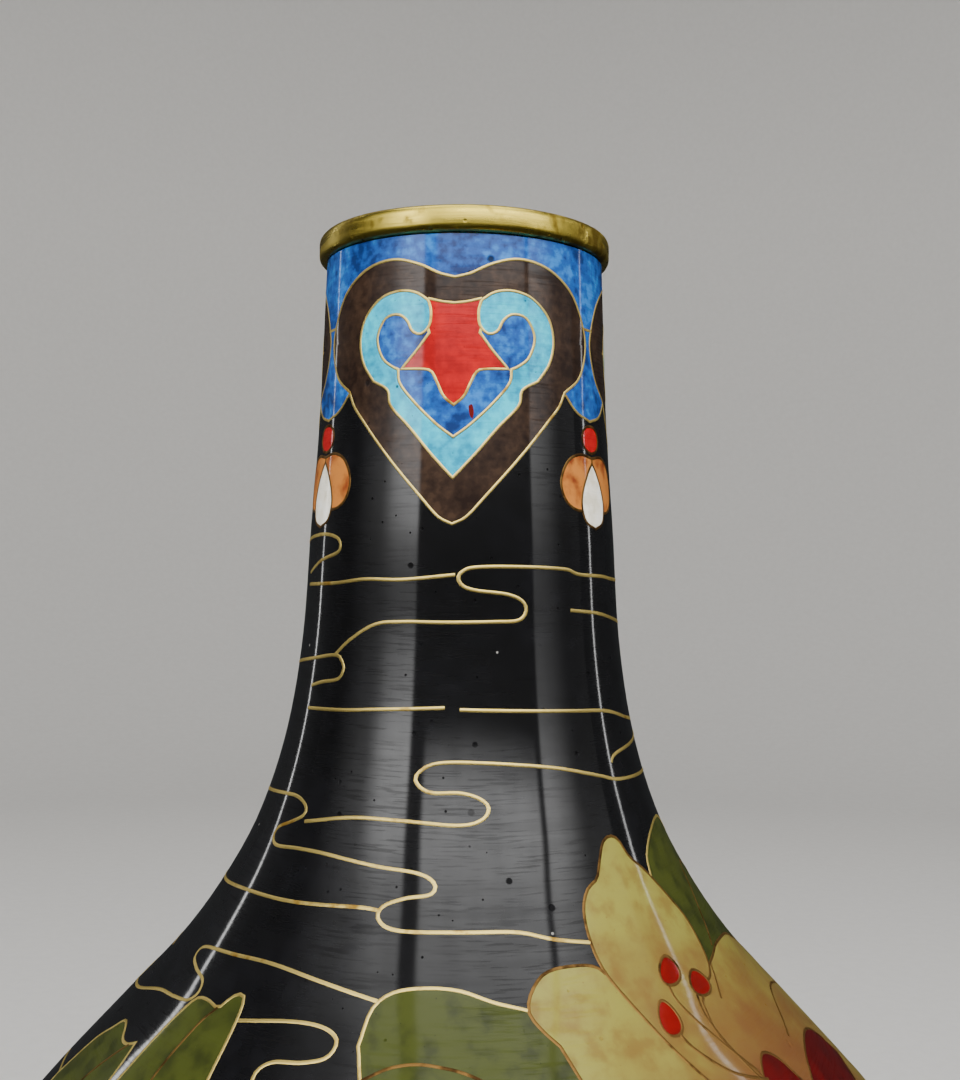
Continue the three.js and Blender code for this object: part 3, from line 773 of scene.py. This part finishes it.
def visible_runs(line, limit, loop=False):
    """The stretches of a line that no shape before a limit in the list covers."""
    hidden = np.zeros(len(line), bool)
    for shape in shapes[:limit]:
        outline = shape["outline"]
        middle = (outline[:, 0].min() + outline[:, 0].max()) / 2
        shift = 360 * round((line[:, 0].mean() - middle) / 360)
        if shape["wired"] and not hidden.all():
            hidden |= covered(line, outline + np.array([shift, 0]))
    if not hidden.any():
        return [(line, loop)]
    if loop:
        turn = int(np.argmax(hidden))
        line, hidden = np.roll(line, -turn, axis=0), np.roll(hidden, -turn)
        line, hidden = np.vstack([line, line[:1]]), np.append(hidden, True)
    runs, start = [], None
    for i, gone in enumerate(np.append(hidden, True)):
        if not gone and start is None:
            start = max(i - 1, 0)
        if gone and start is not None:
            if i - start > 3:
                runs.append((line[start:i + 1], False))
            start = None
    return runs


# %% Sweep a strip along a line
def strip(line, width, loop, proud=0.05, depth=0.3, radius_at=body_radius):
    """A closed strip of wire standing in the wall: points and faces."""
    half = width / 2
    section = np.array([(-half, -depth), (-half, 0.005), (-half * 0.62, proud * 0.8),
                        (0, proud), (half * 0.62, proud * 0.8), (half, 0.005), (half, -depth)])
    middle = on_wall(radius_at, line[:, 0], line[:, 1], 0) / MM
    out = facing(radius_at, line[:, 0], line[:, 1])
    if loop:
        before, after = middle - np.roll(middle, 1, axis=0), np.roll(middle, -1, axis=0) - middle
    else:
        step = np.diff(middle, axis=0)
        before, after = np.vstack([step[:1], step]), np.vstack([step, step[-1:]])
    before /= np.linalg.norm(before, axis=1)[:, None] + 1e-12
    after /= np.linalg.norm(after, axis=1)[:, None] + 1e-12
    way = before + after
    way /= np.linalg.norm(way, axis=1)[:, None] + 1e-12
    aside = np.cross(way, out)
    aside /= np.maximum((way * before).sum(1), 0.6)[:, None]
    ring = (middle[:, None] + section[None, :, :1] * aside[:, None]
            + section[None, :, 1:] * out[:, None])
    count, around = len(line), len(section)
    faces = []
    for i in range(count if loop else count - 1):
        j = (i + 1) % count
        for k in range(around):
            m = (k + 1) % around
            faces.append((i * around + k, i * around + m, j * around + m, j * around + k))
    if not loop:
        faces.append(tuple(range(around - 1, -1, -1)))
        faces.append(tuple((count - 1) * around + k for k in range(around)))
    return ring.reshape(-1, 3) * MM, faces


def make_wires(name, strips):
    mesh = stack(name, strips)
    mesh.set_sharp_from_angle(angle=math.radians(50))
    print(name, "strips:", len(strips), "faces:", len(mesh.polygons))
    return new_object(name, mesh)


# %% Every wire
neck_pieces = ("lappet_scrolls", "lappet_hearts", "lappet_fields", "lappet_bands", "collar")
leaf_pieces = ("leaves", "stems", "border_eyes", "border_petals")
neck_wire, leaf_wire, petal_wire, cloud_wire = 0.34, 0.38, 0.36, 0.43
neck_strips, leaf_strips, petal_strips = [], [], []
for k, shape in enumerate(shapes):
    if not shape["wired"]:
        continue
    for run, loop in visible_runs(shape["outline"], k, loop=True):
        if shape["piece"] in neck_pieces:
            neck_strips.append(strip(run, neck_wire, loop))
        elif shape["piece"] in leaf_pieces:
            leaf_strips.append(strip(run, leaf_wire, loop))
        else:
            petal_strips.append(strip(run, petal_wire, loop))
for vein in veins:
    for run, loop in visible_runs(vein["line"], vein["layer"]):
        petal_strips.append(strip(run, vein["width"], loop))
for line in free_wires:
    for run, loop in visible_runs(line, len(shapes)):
        leaf_strips.append(strip(run, cloud_wire, loop))
pieces["lappet_wires"] = make_wires("lappet_wires", neck_strips)
pieces["petal_wires"] = make_wires("petal_wires", petal_strips)
pieces["cloud_and_leaf_wires"] = make_wires("cloud_and_leaf_wires", leaf_strips)

# %% [markdown]
# ## Metal and lining
#
# The mouth ring and the foot rim are turned brass. Under the glass are three spun copper shells,
# and inside them a lining of turquoise glass that keeps the copper from warping in the fire. All
# of them are outlines turned round the axis. A screw modifier would do it, but a few lines of
# array code give closed rings with an even seam.

# %% A closed outline turned round the axis
def turn_ring(name, outline, around=160, wobble=0.0, on_axis=False):
    """A solid from an outline of (radius, height). It may start and end on the axis."""
    profile = np.array(outline, float)
    angle = np.linspace(0, 2 * np.pi, around + 1)[:-1, None]
    sway = 1 + wobble * (np.sin(3 * angle + 1) + 0.6 * np.sin(7 * angle)) / mouth_radius
    r, z = profile[:, 0] * sway, profile[:, 1] + 0 * angle
    points = np.stack([r * np.sin(angle), -r * np.cos(angle), z], -1).reshape(-1, 3) * MM
    n = len(profile)
    faces = []
    for i in range(around):
        j = (i + 1) % around
        for k in range(n - 1 if on_axis else n):
            m = (k + 1) % n
            faces.append([j * n + k, j * n + m, i * n + m, i * n + k])
    mesh = bpy.data.meshes.new(name)
    mesh.from_pydata(points.tolist(), [], faces)
    work = bmesh.new()
    work.from_mesh(mesh)
    bmesh.ops.remove_doubles(work, verts=work.verts, dist=1e-7)
    bmesh.ops.recalc_face_normals(work, faces=work.faces)
    work.to_mesh(mesh)
    work.free()
    mesh.shade_smooth()
    mesh.set_sharp_from_angle(angle=math.radians(42))
    return new_object(name, mesh)


def rounded(r0, r1, z0, z1, radius, steps=5):
    """A box outline with rounded corners."""
    outline = []
    for r, z, start in ((r1 - radius, z0 + radius, -90), (r1 - radius, z1 - radius, 0),
                        (r0 + radius, z1 - radius, 90), (r0 + radius, z0 + radius, 180)):
        for k in range(steps + 1):
            a = math.radians(start + 90 * k / steps)
            outline.append((r + radius * math.cos(a), z + radius * math.sin(a)))
    return outline


def wall_shell(low, high, outer, inner, steps):
    """The outline of a shell of the wall between two heights and two depths."""
    z = np.linspace(low, high, steps)

    def face(depth):
        spots = on_wall(body_radius, np.zeros(steps), z, depth) / MM
        return [(-y, h) for _, y, h in spots]

    return face(outer) + face(inner)[::-1]


# %% Rings, copper and lining
glass_wall, copper_wall, lining_wall, fit = 1.0, 1.2, 0.8, 0.3
copper_out = glass_wall + fit
copper_in = copper_out + copper_wall
lining_out = copper_in + fit
lining_in = lining_out + lining_wall
bore = neck_radius - lining_in
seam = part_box("copper_upper_body")[1].z / MM + 0.4
hoop = foot_radius - glass_wall - fit
pieces["mouth_ring"] = turn_ring("brass_mouth_ring", rounded(
    bore, mouth_radius, ring_bottom, height, 0.85), wobble=0.05)
pieces["foot_rim"] = turn_ring("brass_foot_rim", rounded(
    hoop + fit, rim_radius, 0, rim_top, 0.5), around=200)
pieces["foot_enamel"] = turn_ring("foot_band", rounded(
    hoop + fit, foot_radius, rim_top + 0.05, foot_top + 0.02, 0.1, 2), around=200)
pieces["base_enamel"] = turn_ring("base_glass", [
    (0, foot_top - fit - lining_wall), (hoop - copper_wall - fit, foot_top - fit - lining_wall),
    (hoop - copper_wall - fit, foot_top - fit), (0, foot_top - fit)], on_axis=True)
pieces["copper_foot"] = turn_ring("copper_foot_hoop", rounded(
    hoop - copper_wall, hoop, fit, foot_top - fit, 0.2, 2), around=120)
pieces["copper_neck"] = turn_ring("copper_neck_tube", wall_shell(
    seam + fit, ring_bottom - fit, copper_out, copper_in, 24), around=96)
pieces["copper_upper_body"] = turn_ring("copper_shoulder", wall_shell(
    belly_height + fit, seam, copper_out, copper_in, 30), around=96)
floor_radius = hoop - copper_wall
bowl = wall_shell(foot_top + copper_in + 1, belly_height, copper_out, copper_in, 24)
pieces["copper_bowl"] = turn_ring("copper_base_bowl", [
    (0, foot_top), (floor_radius, foot_top)] + bowl + [
    (floor_radius - copper_wall, foot_top + copper_wall), (0, foot_top + copper_wall)],
    around=96, on_axis=True)
lining_floor = foot_top + copper_wall + fit
inner = wall_shell(foot_top + lining_in + 3, ring_bottom - fit, lining_out, lining_in, 60)
pieces["lining"] = turn_ring("glass_lining", [
    (0, lining_floor), (floor_radius - copper_wall - fit, lining_floor)] + inner + [
    (floor_radius - copper_wall - fit - lining_wall, lining_floor + lining_wall),
    (0, lining_floor + lining_wall)], around=120, on_axis=True)
print("turned pieces made")

# %% Wires round the foot band
foot_strips = []
round_foot = np.stack([np.linspace(-180, 180, 301)[:-1], np.full(300, foot_top - 0.4)], -1)
foot_strips.append(strip(round_foot, 0.5, True, radius_at=foot_wall_radius))
for i in range(border_count):
    start = i * 360 / border_count
    wave = np.linspace(0, 1, 60)
    angles = start + wave * 360 / border_count * 0.9 + 2.2 * np.sin(wave * 4 * np.pi)
    heights = (rim_top + foot_top) / 2 + 2.6 * np.sin(wave * 2 * np.pi)
    foot_strips.append(strip(np.stack([angles, heights], -1), 0.45, False,
                             radius_at=foot_wall_radius))
pieces["foot_wires"] = make_wires("foot_wires", foot_strips)

# %% [markdown]
# ## Finishes
#
# Ground glass is not flat paint. Each cell is a little darker where the powder lay thick, it is
# sprinkled with pinholes that caught the polishing dirt, and fine level scratches run round the
# vase from the wheel. Image maps would need the surface unrolled; sums of noise need only a place
# in space. So that the sums read as sums, a shader value is wrapped in a class with arithmetic.

# %% Shader values with arithmetic
class Field:
    """A varying shader value. Plain numbers can stand on either side of it."""

    def __init__(self, finish, socket):
        self.finish = finish
        self.socket = socket

    def math(self, operation, *values):
        return self.finish.node("ShaderNodeMath", {"operation": operation},
                                dict(enumerate(values)))

    def __add__(self, other):
        return self.math("ADD", self, other)

    def __sub__(self, other):
        return self.math("SUBTRACT", self, other)

    def __rsub__(self, other):
        return self.math("SUBTRACT", other, self)

    def __mul__(self, other):
        return self.math("MULTIPLY", self, other)

    def __truediv__(self, other):
        return self.math("DIVIDE", self, other)

    def __rtruediv__(self, other):
        return self.math("DIVIDE", other, self)

    def __pow__(self, other):
        return self.math("POWER", self, other)

    __radd__ = __add__
    __rmul__ = __mul__

    def step(self, low, high):
        """0 where the value is under low, 1 where it is over high, and smooth between."""
        return self.finish.node("ShaderNodeMapRange", {"interpolation_type": "SMOOTHSTEP"},
                                {"Value": self, "From Min": low, "From Max": high})


def paint(red, green, blue):
    """A colour from everyday 0 to 255 values."""
    return tuple(((c / 255 + 0.055) / 1.055) ** 2.4 if c > 10 else c / 3295
                 for c in (red, green, blue)) + (1,)


class Finish:
    """A material, and one method that adds any node to it."""

    def __init__(self, name, **values):
        self.material = bpy.data.materials.new(name)
        self.material.use_nodes = True
        self.tree = self.material.node_tree
        self.surface = self.tree.nodes["Principled BSDF"]
        self.place = self.node("ShaderNodeTexCoord", {}, {}, "Object")
        for title, value in values.items():
            self.surface.inputs[title.replace("_", " ")].default_value = value

    def node(self, kind, settings, inputs, output=0):
        """Adds a node. Settings come first, because they can change what inputs it has."""
        made = self.tree.nodes.new(kind)
        for title, value in settings.items():
            setattr(made, title, value)
        for title, value in inputs.items():
            if isinstance(value, Field):
                self.tree.links.new(value.socket, made.inputs[title])
            else:
                made.inputs[title].default_value = value
        return Field(self, made.outputs[output])

    def set(self, title, value):
        self.tree.links.new(value.socket, self.surface.inputs[title])

    def stretched(self, level, upright):
        """The place in space, scaled apart along the level and upright directions."""
        return self.node("ShaderNodeMapping", {}, {
            "Vector": self.place, "Scale": (level, level, upright)})

    def noise(self, size, detail=3, level=1.0, lift=0.0):
        """Soft noise with spots of about size millimetres. level under 1 draws it out sideways."""
        return self.node("ShaderNodeTexNoise", {}, {
            "Vector": self.stretched(level, 1), "Scale": 500 / size, "Detail": detail,
            "Distortion": lift})

    def spots(self, spacing, wide, share):
        """1 in small round spots, on a share of the points of a scatter, and 0 between."""
        scatter = {"Vector": self.place, "Scale": 1000 / spacing}
        near = self.node("ShaderNodeTexVoronoi", {}, scatter, "Distance")
        colour = self.node("ShaderNodeTexVoronoi", {}, scatter, "Color")
        kept = self.node("ShaderNodeSeparateColor", {}, {"Color": colour}, "Red").step(
            1 - share - 0.02, 1 - share + 0.02)
        return (1 - near.step(wide / spacing * 0.35, wide / spacing * 0.6)) * kept

    def blend(self, amount, first, second):
        """A colour between two, by an amount from 0 to 1."""
        return self.node("ShaderNodeMix", {"data_type": "RGBA"}, {0: amount, 6: first, 7: second},
                         2)

    def stored(self, title):
        return self.node("ShaderNodeAttribute", {"attribute_name": title}, {}, "Fac")

    def bump(self, height_mm, strength=1.0):
        """A bump from a height in millimetres."""
        self.set("Normal", self.node("ShaderNodeBump", {}, {
            "Height": height_mm, "Distance": 0.001, "Strength": strength}))


print("shader classes ready")

# %% [markdown]
# ## Glass
#
# All the glasses share one recipe: a colour that drifts between a deep and a pale shade, pinholes,
# wheel marks and a clear hard shine. It is a function with the shades as its sizes. Transparent
# glass over copper would be nearer the real thing, but these powders are opaque, so plain colour
# with a shine is true to them and clean to render.

# %% The glass recipe
def wheel_marks(finish):
    """Level scratches left by the polishing wheel, 0 to 1."""
    fine = finish.noise(0.11, 2, level=0.05).step(0.52, 0.64)
    broad = finish.noise(0.5, 4, level=0.06).step(0.46, 0.7)
    patches = finish.noise(9, 3).step(0.35, 0.65)
    return fine * (patches * 0.6 + 0.3) + broad * 0.35


def polished(name, pits, shine):
    """A ground and polished glass with its pits and marks, and no colour yet."""
    finish = Finish(name, IOR=1.5, Specular_IOR_Level=0.1, Coat_IOR=1.52, Coat_Roughness=0.07)
    finish.holes = finish.spots(1.7, 0.42, pits * 0.4)
    finish.fine = finish.spots(0.6, 0.16, pits * 0.6)
    finish.large = finish.spots(5, 1.1, pits * 0.8)
    finish.marks = wheel_marks(finish)
    worn = finish.noise(5, 4).step(0.5, 0.75)
    finish.set("Coat Weight", shine - finish.marks * 0.38 - worn * 0.14 - finish.large
               - finish.holes * 0.8 - finish.fine * 0.4)
    finish.set("Roughness", 0.45 + finish.marks * 0.15 + finish.holes * 0.3)
    finish.bump(finish.noise(2.2, 2) * 0.01 - finish.marks * 0.002 - finish.large * 0.08
                - finish.holes * 0.04 - finish.fine * 0.015)
    return finish


def glass(name, deep, middle, pale, grain=0.6, pits=0.3, shine=0.6, dirt=paint(24, 20, 20)):
    finish = polished(name, pits, shine)
    drift = finish.noise(4 * grain, 4) * 0.5 + finish.noise(0.8 * grain, 4) * 0.5
    colour = finish.blend(drift.step(0.38, 0.52), deep, middle)
    colour = finish.blend(drift.step(0.5, 0.64), colour, pale)
    colour = finish.blend(finish.marks * 0.16, colour, paint(20, 17, 15))
    finish.colour = finish.blend(
        finish.large * 0.85 + finish.holes * 0.8 + finish.fine * 0.55, colour, dirt)
    finish.set("Base Color", finish.colour)
    return finish


black = glass("black_glass", paint(4, 4, 5), paint(7, 7, 9), paint(12, 12, 15), 1.5, 0.12,
              0.95, paint(1, 1, 1))
chips = black.spots(6, 0.34, 0.25)
pits = black.spots(4, 0.8, 0.3) * black.noise(16).step(0.44, 0.52) + black.spots(1.6, 0.3, 0.3)
black.set("Base Color", black.blend(chips * 0.9, black.colour, paint(150, 148, 142)))
worn = black.noise(6, 4).step(0.45, 0.75)
black.set("Coat Weight", 0.95 - black.marks * 0.38 - worn * 0.25 - pits)
black.bump(black.noise(2.2, 2) * 0.01 - pits * 0.1 + chips * 0.03)
blue = glass("blue_glass", paint(14, 42, 98), paint(20, 78, 156), paint(42, 120, 198), 0.7,
             shine=0.5)
turquoise = glass("turquoise_glass", paint(0, 138, 174), paint(0, 176, 208),
                  paint(20, 206, 230), 0.7)
brown = glass("brown_glass", paint(30, 18, 12), paint(44, 30, 21), paint(60, 43, 31))
red = glass("red_glass", paint(150, 2, 8), paint(172, 3, 10), paint(186, 8, 12), pits=0.15)
white = glass("white_glass", paint(228, 220, 196), paint(248, 243, 226), paint(254, 252, 244),
              1.0)
print("plain glasses ready")

# %% Glasses that fade along a petal
def fading_glass(name, base, tip, fleck, flecks=0.2, change=(0.2, 0.8), mottle=0.55):
    finish = polished(name, 0.2, 0.5)
    along = finish.stored("fade") + (finish.noise(3, 4) - 0.5) * 0.6
    colour = finish.blend(along.step(*change), base, tip)
    cloudy = finish.noise(1.4, 5) + finish.stored("tone") * 0.06
    colour = finish.blend(cloudy.step(0.44, 0.72) * mottle, colour, fleck)
    specks = finish.spots(0.9, 0.2, flecks)
    finish.set("Base Color", finish.blend(specks * 0.5 + finish.holes * 0.3, colour, fleck))
    return finish


ochre = fading_glass("ochre_glass", paint(190, 118, 50), paint(208, 150, 76),
                     paint(112, 36, 14), 0.6, mottle=0.95)
lily = fading_glass("lily_glass", paint(108, 70, 38), paint(140, 134, 60), paint(114, 80, 38),
                    0.2, (0.25, 0.9))
throat = fading_glass("throat_glass", paint(92, 5, 5), paint(78, 5, 5), paint(50, 4, 4))
leaf = fading_glass("leaf_glass", paint(28, 36, 14), paint(62, 68, 22), paint(20, 26, 10))
anther = fading_glass("anther_glass", paint(124, 6, 6), paint(132, 8, 6), paint(80, 4, 4))
print("fading glasses ready")

# %% [markdown]
# ## Metals
#
# The wires are gilt and stay bright where the glass protects them. The rings are bare brass that
# hands have darkened, with the gold worn through on the edges. Wear is a noise that sets how much
# of the dull shade shows, and it drives colour and roughness together as real tarnish does.

# %% The metal recipe
def metal(name, bright, dull, wear, roughness, pitting, scratches=0.3):
    finish = Finish(name, Metallic=1.0)
    tarnish = finish.noise(5, 6, lift=0.4) * 0.5 + finish.noise(0.9, 4) * 0.5
    dark = tarnish.step(0.56 - wear * 0.2, 0.7 - wear * 0.2)
    holes = finish.spots(1.4, 0.5, pitting)
    streaks = wheel_marks(finish)
    finish.set("Base Color", finish.blend(dark + holes * 0.7, bright, dull))
    finish.set("Roughness", roughness + dark * 0.2 + streaks * scratches + holes * 0.3)
    finish.bump(finish.noise(1.2, 4) * 0.02 - streaks * 0.004 - holes * 0.08)
    return finish


gilt = metal("gilt", paint(250, 222, 128), paint(190, 150, 66), 0.1, 0.42, 0.0, 0.1)
dull_gilt = metal("dull_gilt", paint(140, 106, 58), paint(84, 60, 34), 0.4, 0.5, 0.0, 0.1)
brass = metal("brass", paint(220, 196, 84), paint(140, 116, 40), 0.25, 0.27, 0.3)
copper = metal("copper", paint(200, 120, 88), paint(96, 52, 38), 0.5, 0.35, 0.1)
print("metals ready")

# %% [markdown]
# ## Putting it together
#
# Each drawn piece stands in for CAD nodes, which are hidden. A table is enough here:
# the piece, its finish, its slot, and how the names of its nodes begin or end.

# %% Which piece stands for what
nodes = sorted(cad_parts)


def ending(*ends):
    return [n for n in nodes if n.endswith(ends)]


table = [
    ("ground", black, "black_enamel", ["ground"]),
    ("collar", blue, "blue_enamel", ["collar"]),
    ("lappet_scrolls", turquoise, "turquoise_enamel", ending("_scroll")),
    ("lappet_hearts", red, "red_enamel", [n for n in ending("_heart") if "under" not in n]),
    ("lappet_fields", blue, "blue_enamel", ending("under_heart", "_eye")),
    ("lappet_bands", brown, "brown_enamel", ending("_band")),
    ("lappet_crumb", throat, "red_enamel", []),
    ("lappet_wires", gilt, "gilt_wire", ending("_wire")),
    ("petal_wires", dull_gilt, "gilt_wire", []),
    ("cloud_and_leaf_wires", gilt, "gilt_wire", []),
    ("foot_wires", gilt, "gilt_wire", []),
    ("pendant_beads", red, "red_enamel", ending("_bead")),
    ("pendant_buds", white, "white_enamel", ending("_bud")),
    ("pendant_petals", ochre, "ochre_enamel", [n for n in ending("_petal") if "pendant" in n]),
    ("lily_anthers", anther, "red_enamel", []),
    ("lily_throats", throat, "red_enamel", ending("lily_throat")),
    ("lily_petals", lily, "cream_enamel", [n for n in ending("_petal") if "lily" in n]),
    ("leaves", leaf, "green_enamel", [n for n in nodes if "leaf" in n]),
    ("stems", leaf, "green_enamel", []),
    ("border_eyes", ochre, "ochre_enamel", []),
    ("border_petals", blue, "blue_enamel", []),
    ("mouth_ring", brass, "brass", ["mouth_ring"]),
    ("foot_rim", brass, "brass", ["foot_rim"]),
    ("foot_enamel", turquoise, "turquoise_enamel", ["foot_enamel"]),
    ("base_enamel", blue, "turquoise_enamel", ["base_enamel"]),
    ("copper_foot", copper, "copper", ["copper_foot"]),
    ("copper_neck", copper, "copper", ["copper_neck"]),
    ("copper_upper_body", copper, "copper", ["copper_upper_body"]),
    ("copper_bowl", copper, "copper", ["copper_bowl"]),
    ("lining", turquoise, "turquoise_enamel", ["lining"]),
]
stood_for = set()
for name, finish, slot_name, replaced in table:
    piece = pieces[name]
    if piece.name == "collar":
        piece.name = "blue_collar"
    piece.data.materials.clear()
    piece.data.materials.append(finish.material)
    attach(piece, "root")
    if replaced:
        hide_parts(*replaced)
        stood_for.update(replaced)
print("CAD nodes left showing:", sorted(set(nodes) - stood_for))

# %% [markdown]
# ## Floor, light and camera
#
# The vase stands on pale paper that curves up all round it, so no edge shows from any side. Glossy
# black shows its room, so the room matters more than the lamps. Three tall windows of light with
# narrow gaps between them draw soft panes on the neck and shoulder, and two thin strips draw the
# bright lines near its edges. The paper is hidden from reflections, or it would turn the black
# grey. A ready-made sky would light it too, but would not give panes with clean edges.

# %% Floor and sweep
def sweep(flat=1.0, reach=1.7, tall=1.6, around=72):
    """A flat floor that curves up into a wall on every side."""
    bend = reach - flat
    line = [(flat, 0.0)]
    for k in range(1, 13):
        a = math.pi / 2 * k / 12
        line.append((flat + bend * math.sin(a), bend - bend * math.cos(a)))
    line.append((reach, tall))
    points = [(0.0, 0.0, 0.0)]
    for k in range(around):
        turn = 2 * math.pi * k / around
        points += [(r * math.sin(turn), r * math.cos(turn), z) for r, z in line]
    faces = []
    n = len(line)
    for k in range(around):
        here, there = 1 + k * n, 1 + (k + 1) % around * n
        faces.append((0, there, here))
        faces += [(here + j, there + j, there + j + 1, here + j + 1) for j in range(n - 1)]
    mesh = bpy.data.meshes.new("studio_sweep")
    mesh.from_pydata(points, [], faces)
    mesh.shade_smooth()
    return new_object("studio_sweep", mesh)


floor = sweep()
paper = Finish("studio_paper")
paper.set("Base Color", paper.blend(paper.noise(3, 5), paint(214, 212, 208), paint(224, 222, 219)))
paper.set("Roughness", 0.8 + paper.noise(1.5) * 0.1)
paper.bump(paper.noise(0.8, 4) * 0.02)
floor.data.materials.append(paper.material)
floor.visible_glossy = False
print("floor faces:", len(floor.data.polygons))

# %% Soft panels
neck_middle = 0.18    # metres above the floor, where the lights aim


def panel(name, left, right, low, high, glow, away=1.1):
    """A glowing rectangle that reaches between two bearings and two elevations, in degrees.

    Bearing 0 is in front and 90 to the right, seen from the middle of the neck.
    """
    bearing, rise = math.radians(left + right) / 2, math.radians(low + high) / 2
    wide = 2 * away * math.tan(math.radians(right - left) / 2)
    tall = 2 * away * math.tan(math.radians(high - low) / 2)
    lamp = bpy.data.lights.new(name, "AREA")
    lamp.shape = "RECTANGLE"
    lamp.size, lamp.size_y = wide, tall
    lamp.energy = glow * math.pi * wide * tall
    made = new_object(name, lamp)
    out = Vector((math.sin(bearing) * math.cos(rise), -math.cos(bearing) * math.cos(rise),
                  math.sin(rise)))
    made.location = Vector((0, 0, neck_middle)) + out * away
    made.rotation_euler = out.to_track_quat("Z", "Y").to_euler()
    made.visible_camera = False
    return made


panel("right_edge", 111.3, 112.7, -20, 50, 8)
panel("left_edge", -120.7, -119.3, -20, 50, 8)
panel("top_panel", -205, -155, 68, 108, 2.2)
fill = panel("fill", -45, 45, 8, 44, 2.4, away=0.9)
fill.visible_glossy = False

# %% A soft wall with three windows of light
light_away = 1.25    # metres from the neck to the wall of light


def wall_of_light(reach=100, low=-5, high=72, away=light_away):
    """A piece of a ball round the front of the vase, to carry a glow that varies."""
    bearings = np.radians(np.linspace(-reach, reach, 41))
    rises = np.radians(np.linspace(low, high, 17))
    points = [(away * math.sin(a) * math.cos(e), -away * math.cos(a) * math.cos(e),
               away * math.sin(e) + neck_middle) for e in rises for a in bearings]
    n = len(bearings)
    faces = [(j * n + i, j * n + i + 1, j * n + n + i + 1, j * n + n + i)
             for j in range(len(rises) - 1) for i in range(n - 1)]
    mesh = bpy.data.meshes.new("light_wall")
    mesh.from_pydata(points, [], faces)
    mesh.shade_smooth()
    return new_object("light_wall", mesh)


glow = Finish("window_light", Emission_Strength=4.5)
x, y, z = (glow.node("ShaderNodeSeparateXYZ", {}, {"Vector": glow.place}, axis)
           for axis in "XYZ")
bearing = x.math("ARCTAN2", x, y * -1) * (180 / math.pi)
rise = z.math("ARCSINE", (z - neck_middle) / light_away) * (180 / math.pi)
fading_up = 1 - rise.step(22, 62) * 0.62
left_window = (bearing.step(-88, -46) * 0.3 * rise.step(-4, 20)
               + bearing.step(-60, -38) * rise.step(3, 15) * (1 - rise.step(20, 40) * 0.5) * 0.9)
left_window = left_window * (1 - bearing.step(-30, -27))
front_window = bearing.step(-21, -17) * (1 - bearing.step(51, 54)) * rise.step(13, 25)
right_window = (bearing.step(55, 57) * (1 - bearing.step(57, 84) * 0.9)
                * (rise.step(-4, 8) * 0.2 + rise.step(6, 24) * 0.7))
window = (left_window + front_window + right_window) * fading_up
glow.set("Emission Color", window * (0.8 + glow.noise(90, 3) * 0.4) + 0.004)
glow.set("Base Color", glow.noise(40) * 0.02)
light_wall = wall_of_light()
light_wall.data.materials.append(glow.material)
light_wall.visible_camera = False
light_wall.visible_shadow = False
print("light wall faces:", len(light_wall.data.polygons))

# %% Dim room
world = bpy.data.worlds.new("studio")
world.use_nodes = True
room = world.node_tree.nodes["Background"].inputs
room["Color"].default_value = (0.94, 0.97, 1, 1)
room["Strength"].default_value = 0.035
bpy.context.scene.world = world
print("room strength:", round(room["Strength"].default_value, 3))

# %% Camera
lens = bpy.data.cameras.new("view")
lens.lens = 42.9
lens.sensor_width = 36
lens.clip_start = 0.01
camera = new_object("view", lens)
bpy.context.scene.camera = camera
distance, below_mouth, swing = 168.8 * MM, 40.8, math.radians(3.5)
camera.location = (distance * math.sin(swing), -distance * math.cos(swing),
                   (ring_bottom - below_mouth) * MM)
tilt, pan, roll = math.radians(1.68), math.radians(0.8), math.radians(0.52)
camera.rotation_euler = (Matrix.Rotation(swing - pan, 4, "Z")
                         @ Matrix.Rotation(math.pi / 2 + tilt, 4, "X")
                         @ Matrix.Rotation(roll, 4, "Z")).to_euler()
print("camera at", [round(v, 4) for v in camera.location])
